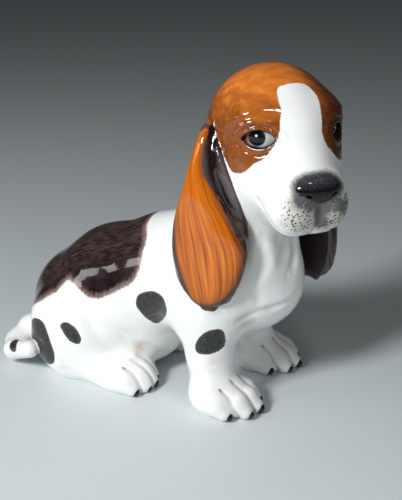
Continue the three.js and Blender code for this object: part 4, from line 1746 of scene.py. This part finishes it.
@dataclass
class Studio:
    """A pale floor, soft lights and the camera."""

    camera_place: Vec = (-721.7, -393.8, 442.3)
    camera_yaw: float = 63.5
    camera_pitch: float = 21.0
    focal_px: float = 900.0
    frame_px: tuple[int, int] = (402, 500)
    sensor_mm: float = 36.0
    clip_start: float = 0.05
    floor_half: float = 9.0
    floor_colour: str = "#D6DEDF"
    room_colour: str = "#C9CDD0"
    room_strength: float = 0.075
    # Name, place, target, width and height, watts, colour and roll. The last only fills, unseen in the glaze.
    lights: tuple = (
        ("key_left", (-1.25, 0.33, 1.02), (0, -0.02, 0.1), (0.36, 0.36), 22.5, "#FDFEFF", 0),
        ("strip_back", (-0.955, 1.121, 0.645), (-0.052, 0.045, 0.12), (0.5, 0.3), 2.3, "#FFFFFF", 33),
        ("fill_top", (-0.22, -0.3, 0.78), (0, -0.11, 0.27), (0.07, 0.05), 0.35, "#FBFDFF", 0),
        ("fill_front", (-0.42, -0.78, 0.55), (0, -0.12, 0.2), (0.3, 0.3), 1.0, "#FFFFFF", 0),
    )

    def floor(self) -> bpy.types.Object:
        """A plain pale floor.

        Returns:
            The floor.
        """
        mesh = bpy.data.meshes.new("floor")
        half = self.floor_half
        mesh.from_pydata([(-half, -half, 0), (half, -half, 0), (half, half, 0), (-half, half, 0)], [], [(0, 1, 2, 3)])
        floor = placed("floor", mesh)
        material = bpy.data.materials.new("matt_painted_floor")
        material.use_nodes = True
        shader = material.node_tree.nodes["Principled BSDF"]
        shader.inputs["Base Color"].default_value = linear(self.floor_colour)
        shader.inputs["Roughness"].default_value = 0.6
        mesh.materials.append(material)
        return floor

    def light(self, name: str, place: Vec, target: Vec, size: Vec, power: float, colour: str,
              roll: float) -> bpy.types.Object:
        """A soft light of a width and a height, aimed at a point and rolled by some degrees.

        Args:
            name: its name.
            place: where it is, in metres.
            target: the point that it faces.
            size: its width and height.
            power: its watts.
            colour: its hex code.
            roll: its turn about its own axis, in degrees.

        Returns:
            The light.
        """
        lamp = bpy.data.lights.new(name, "AREA")
        lamp.shape = "RECTANGLE"
        lamp.size, lamp.size_y = size
        lamp.energy = power
        lamp.color = linear(colour)[:3]
        holder = placed(name, lamp)
        start, end = np.array(place, float), np.array(target, float)
        aim = end - start
        holder.location = start
        turn = Euler((math.atan2(math.hypot(aim[0], aim[1]), -aim[2]), 0, math.atan2(-aim[0], aim[1]))).to_matrix()
        holder.rotation_euler = (turn @ Matrix.Rotation(math.radians(roll), 3, "Z")).to_euler()
        return holder

    def build(self) -> bpy.types.Object:
        """Set floor, lights, world and camera.

        Returns:
            The floor.
        """
        lamps = [self.light(*row) for row in self.lights]
        lamps[-1].visible_glossy = False
        bpy.context.scene.view_settings.view_transform = "Standard"
        world = bpy.data.worlds.new("studio")
        bpy.context.scene.world = world
        world.use_nodes = True
        room = world.node_tree.nodes["Background"].inputs
        room["Color"].default_value = linear(self.room_colour)
        room["Strength"].default_value = self.room_strength
        lens = bpy.data.cameras.new("camera")
        lens.sensor_width = self.sensor_mm
        lens.lens = self.focal_px / max(self.frame_px) * lens.sensor_width
        lens.clip_start = self.clip_start
        camera = placed("camera", lens)
        camera.location = (np.array(self.camera_place) - STAND_CENTRE) / METRE
        camera.rotation_euler = (math.radians(90 - self.camera_pitch), 0, math.radians(-self.camera_yaw))
        bpy.context.scene.camera = camera
        return self.floor()


def main() -> None:
    """Build the statue and its studio."""
    logging.basicConfig(level=logging.INFO, format="%(message)s")
    Studio().build()
    statue = Statue()
    sides = {RIGHT: "right", LEFT: "left"}
    skin = statue.skin()
    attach(skin, "root")
    flesh = ["torso", "neck", "head", "tail"]
    for part in ("ear", "foreleg", "forepaw", "thigh", "hindfoot"):
        flesh += [f"{part}_{side}" for side in sides.values()]
    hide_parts(*flesh)
    for side, word in sides.items():
        eye = statue.eye(side)
        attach(eye, "root")
        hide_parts(f"eye_{word}")
        LOG.info("eye %s", word)
    nose = statue.nose()
    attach(nose, "root")
    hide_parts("nose")
    body = statue.body
    for index, word in enumerate(sides.values()):
        for foot, paws, toes, height in (("fore", body.fore_paws, body.fore_toes, 5.8),
                                         ("hind", body.hind_paws, body.hind_toes, 5.4)):
            nails = statue.nails(f"{foot}_nails_{word}", paws[index], toes, height)
            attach(nails, "root")
            LOG.info("nails %s %s", foot, word)


if __name__ == "__main__":
    main()
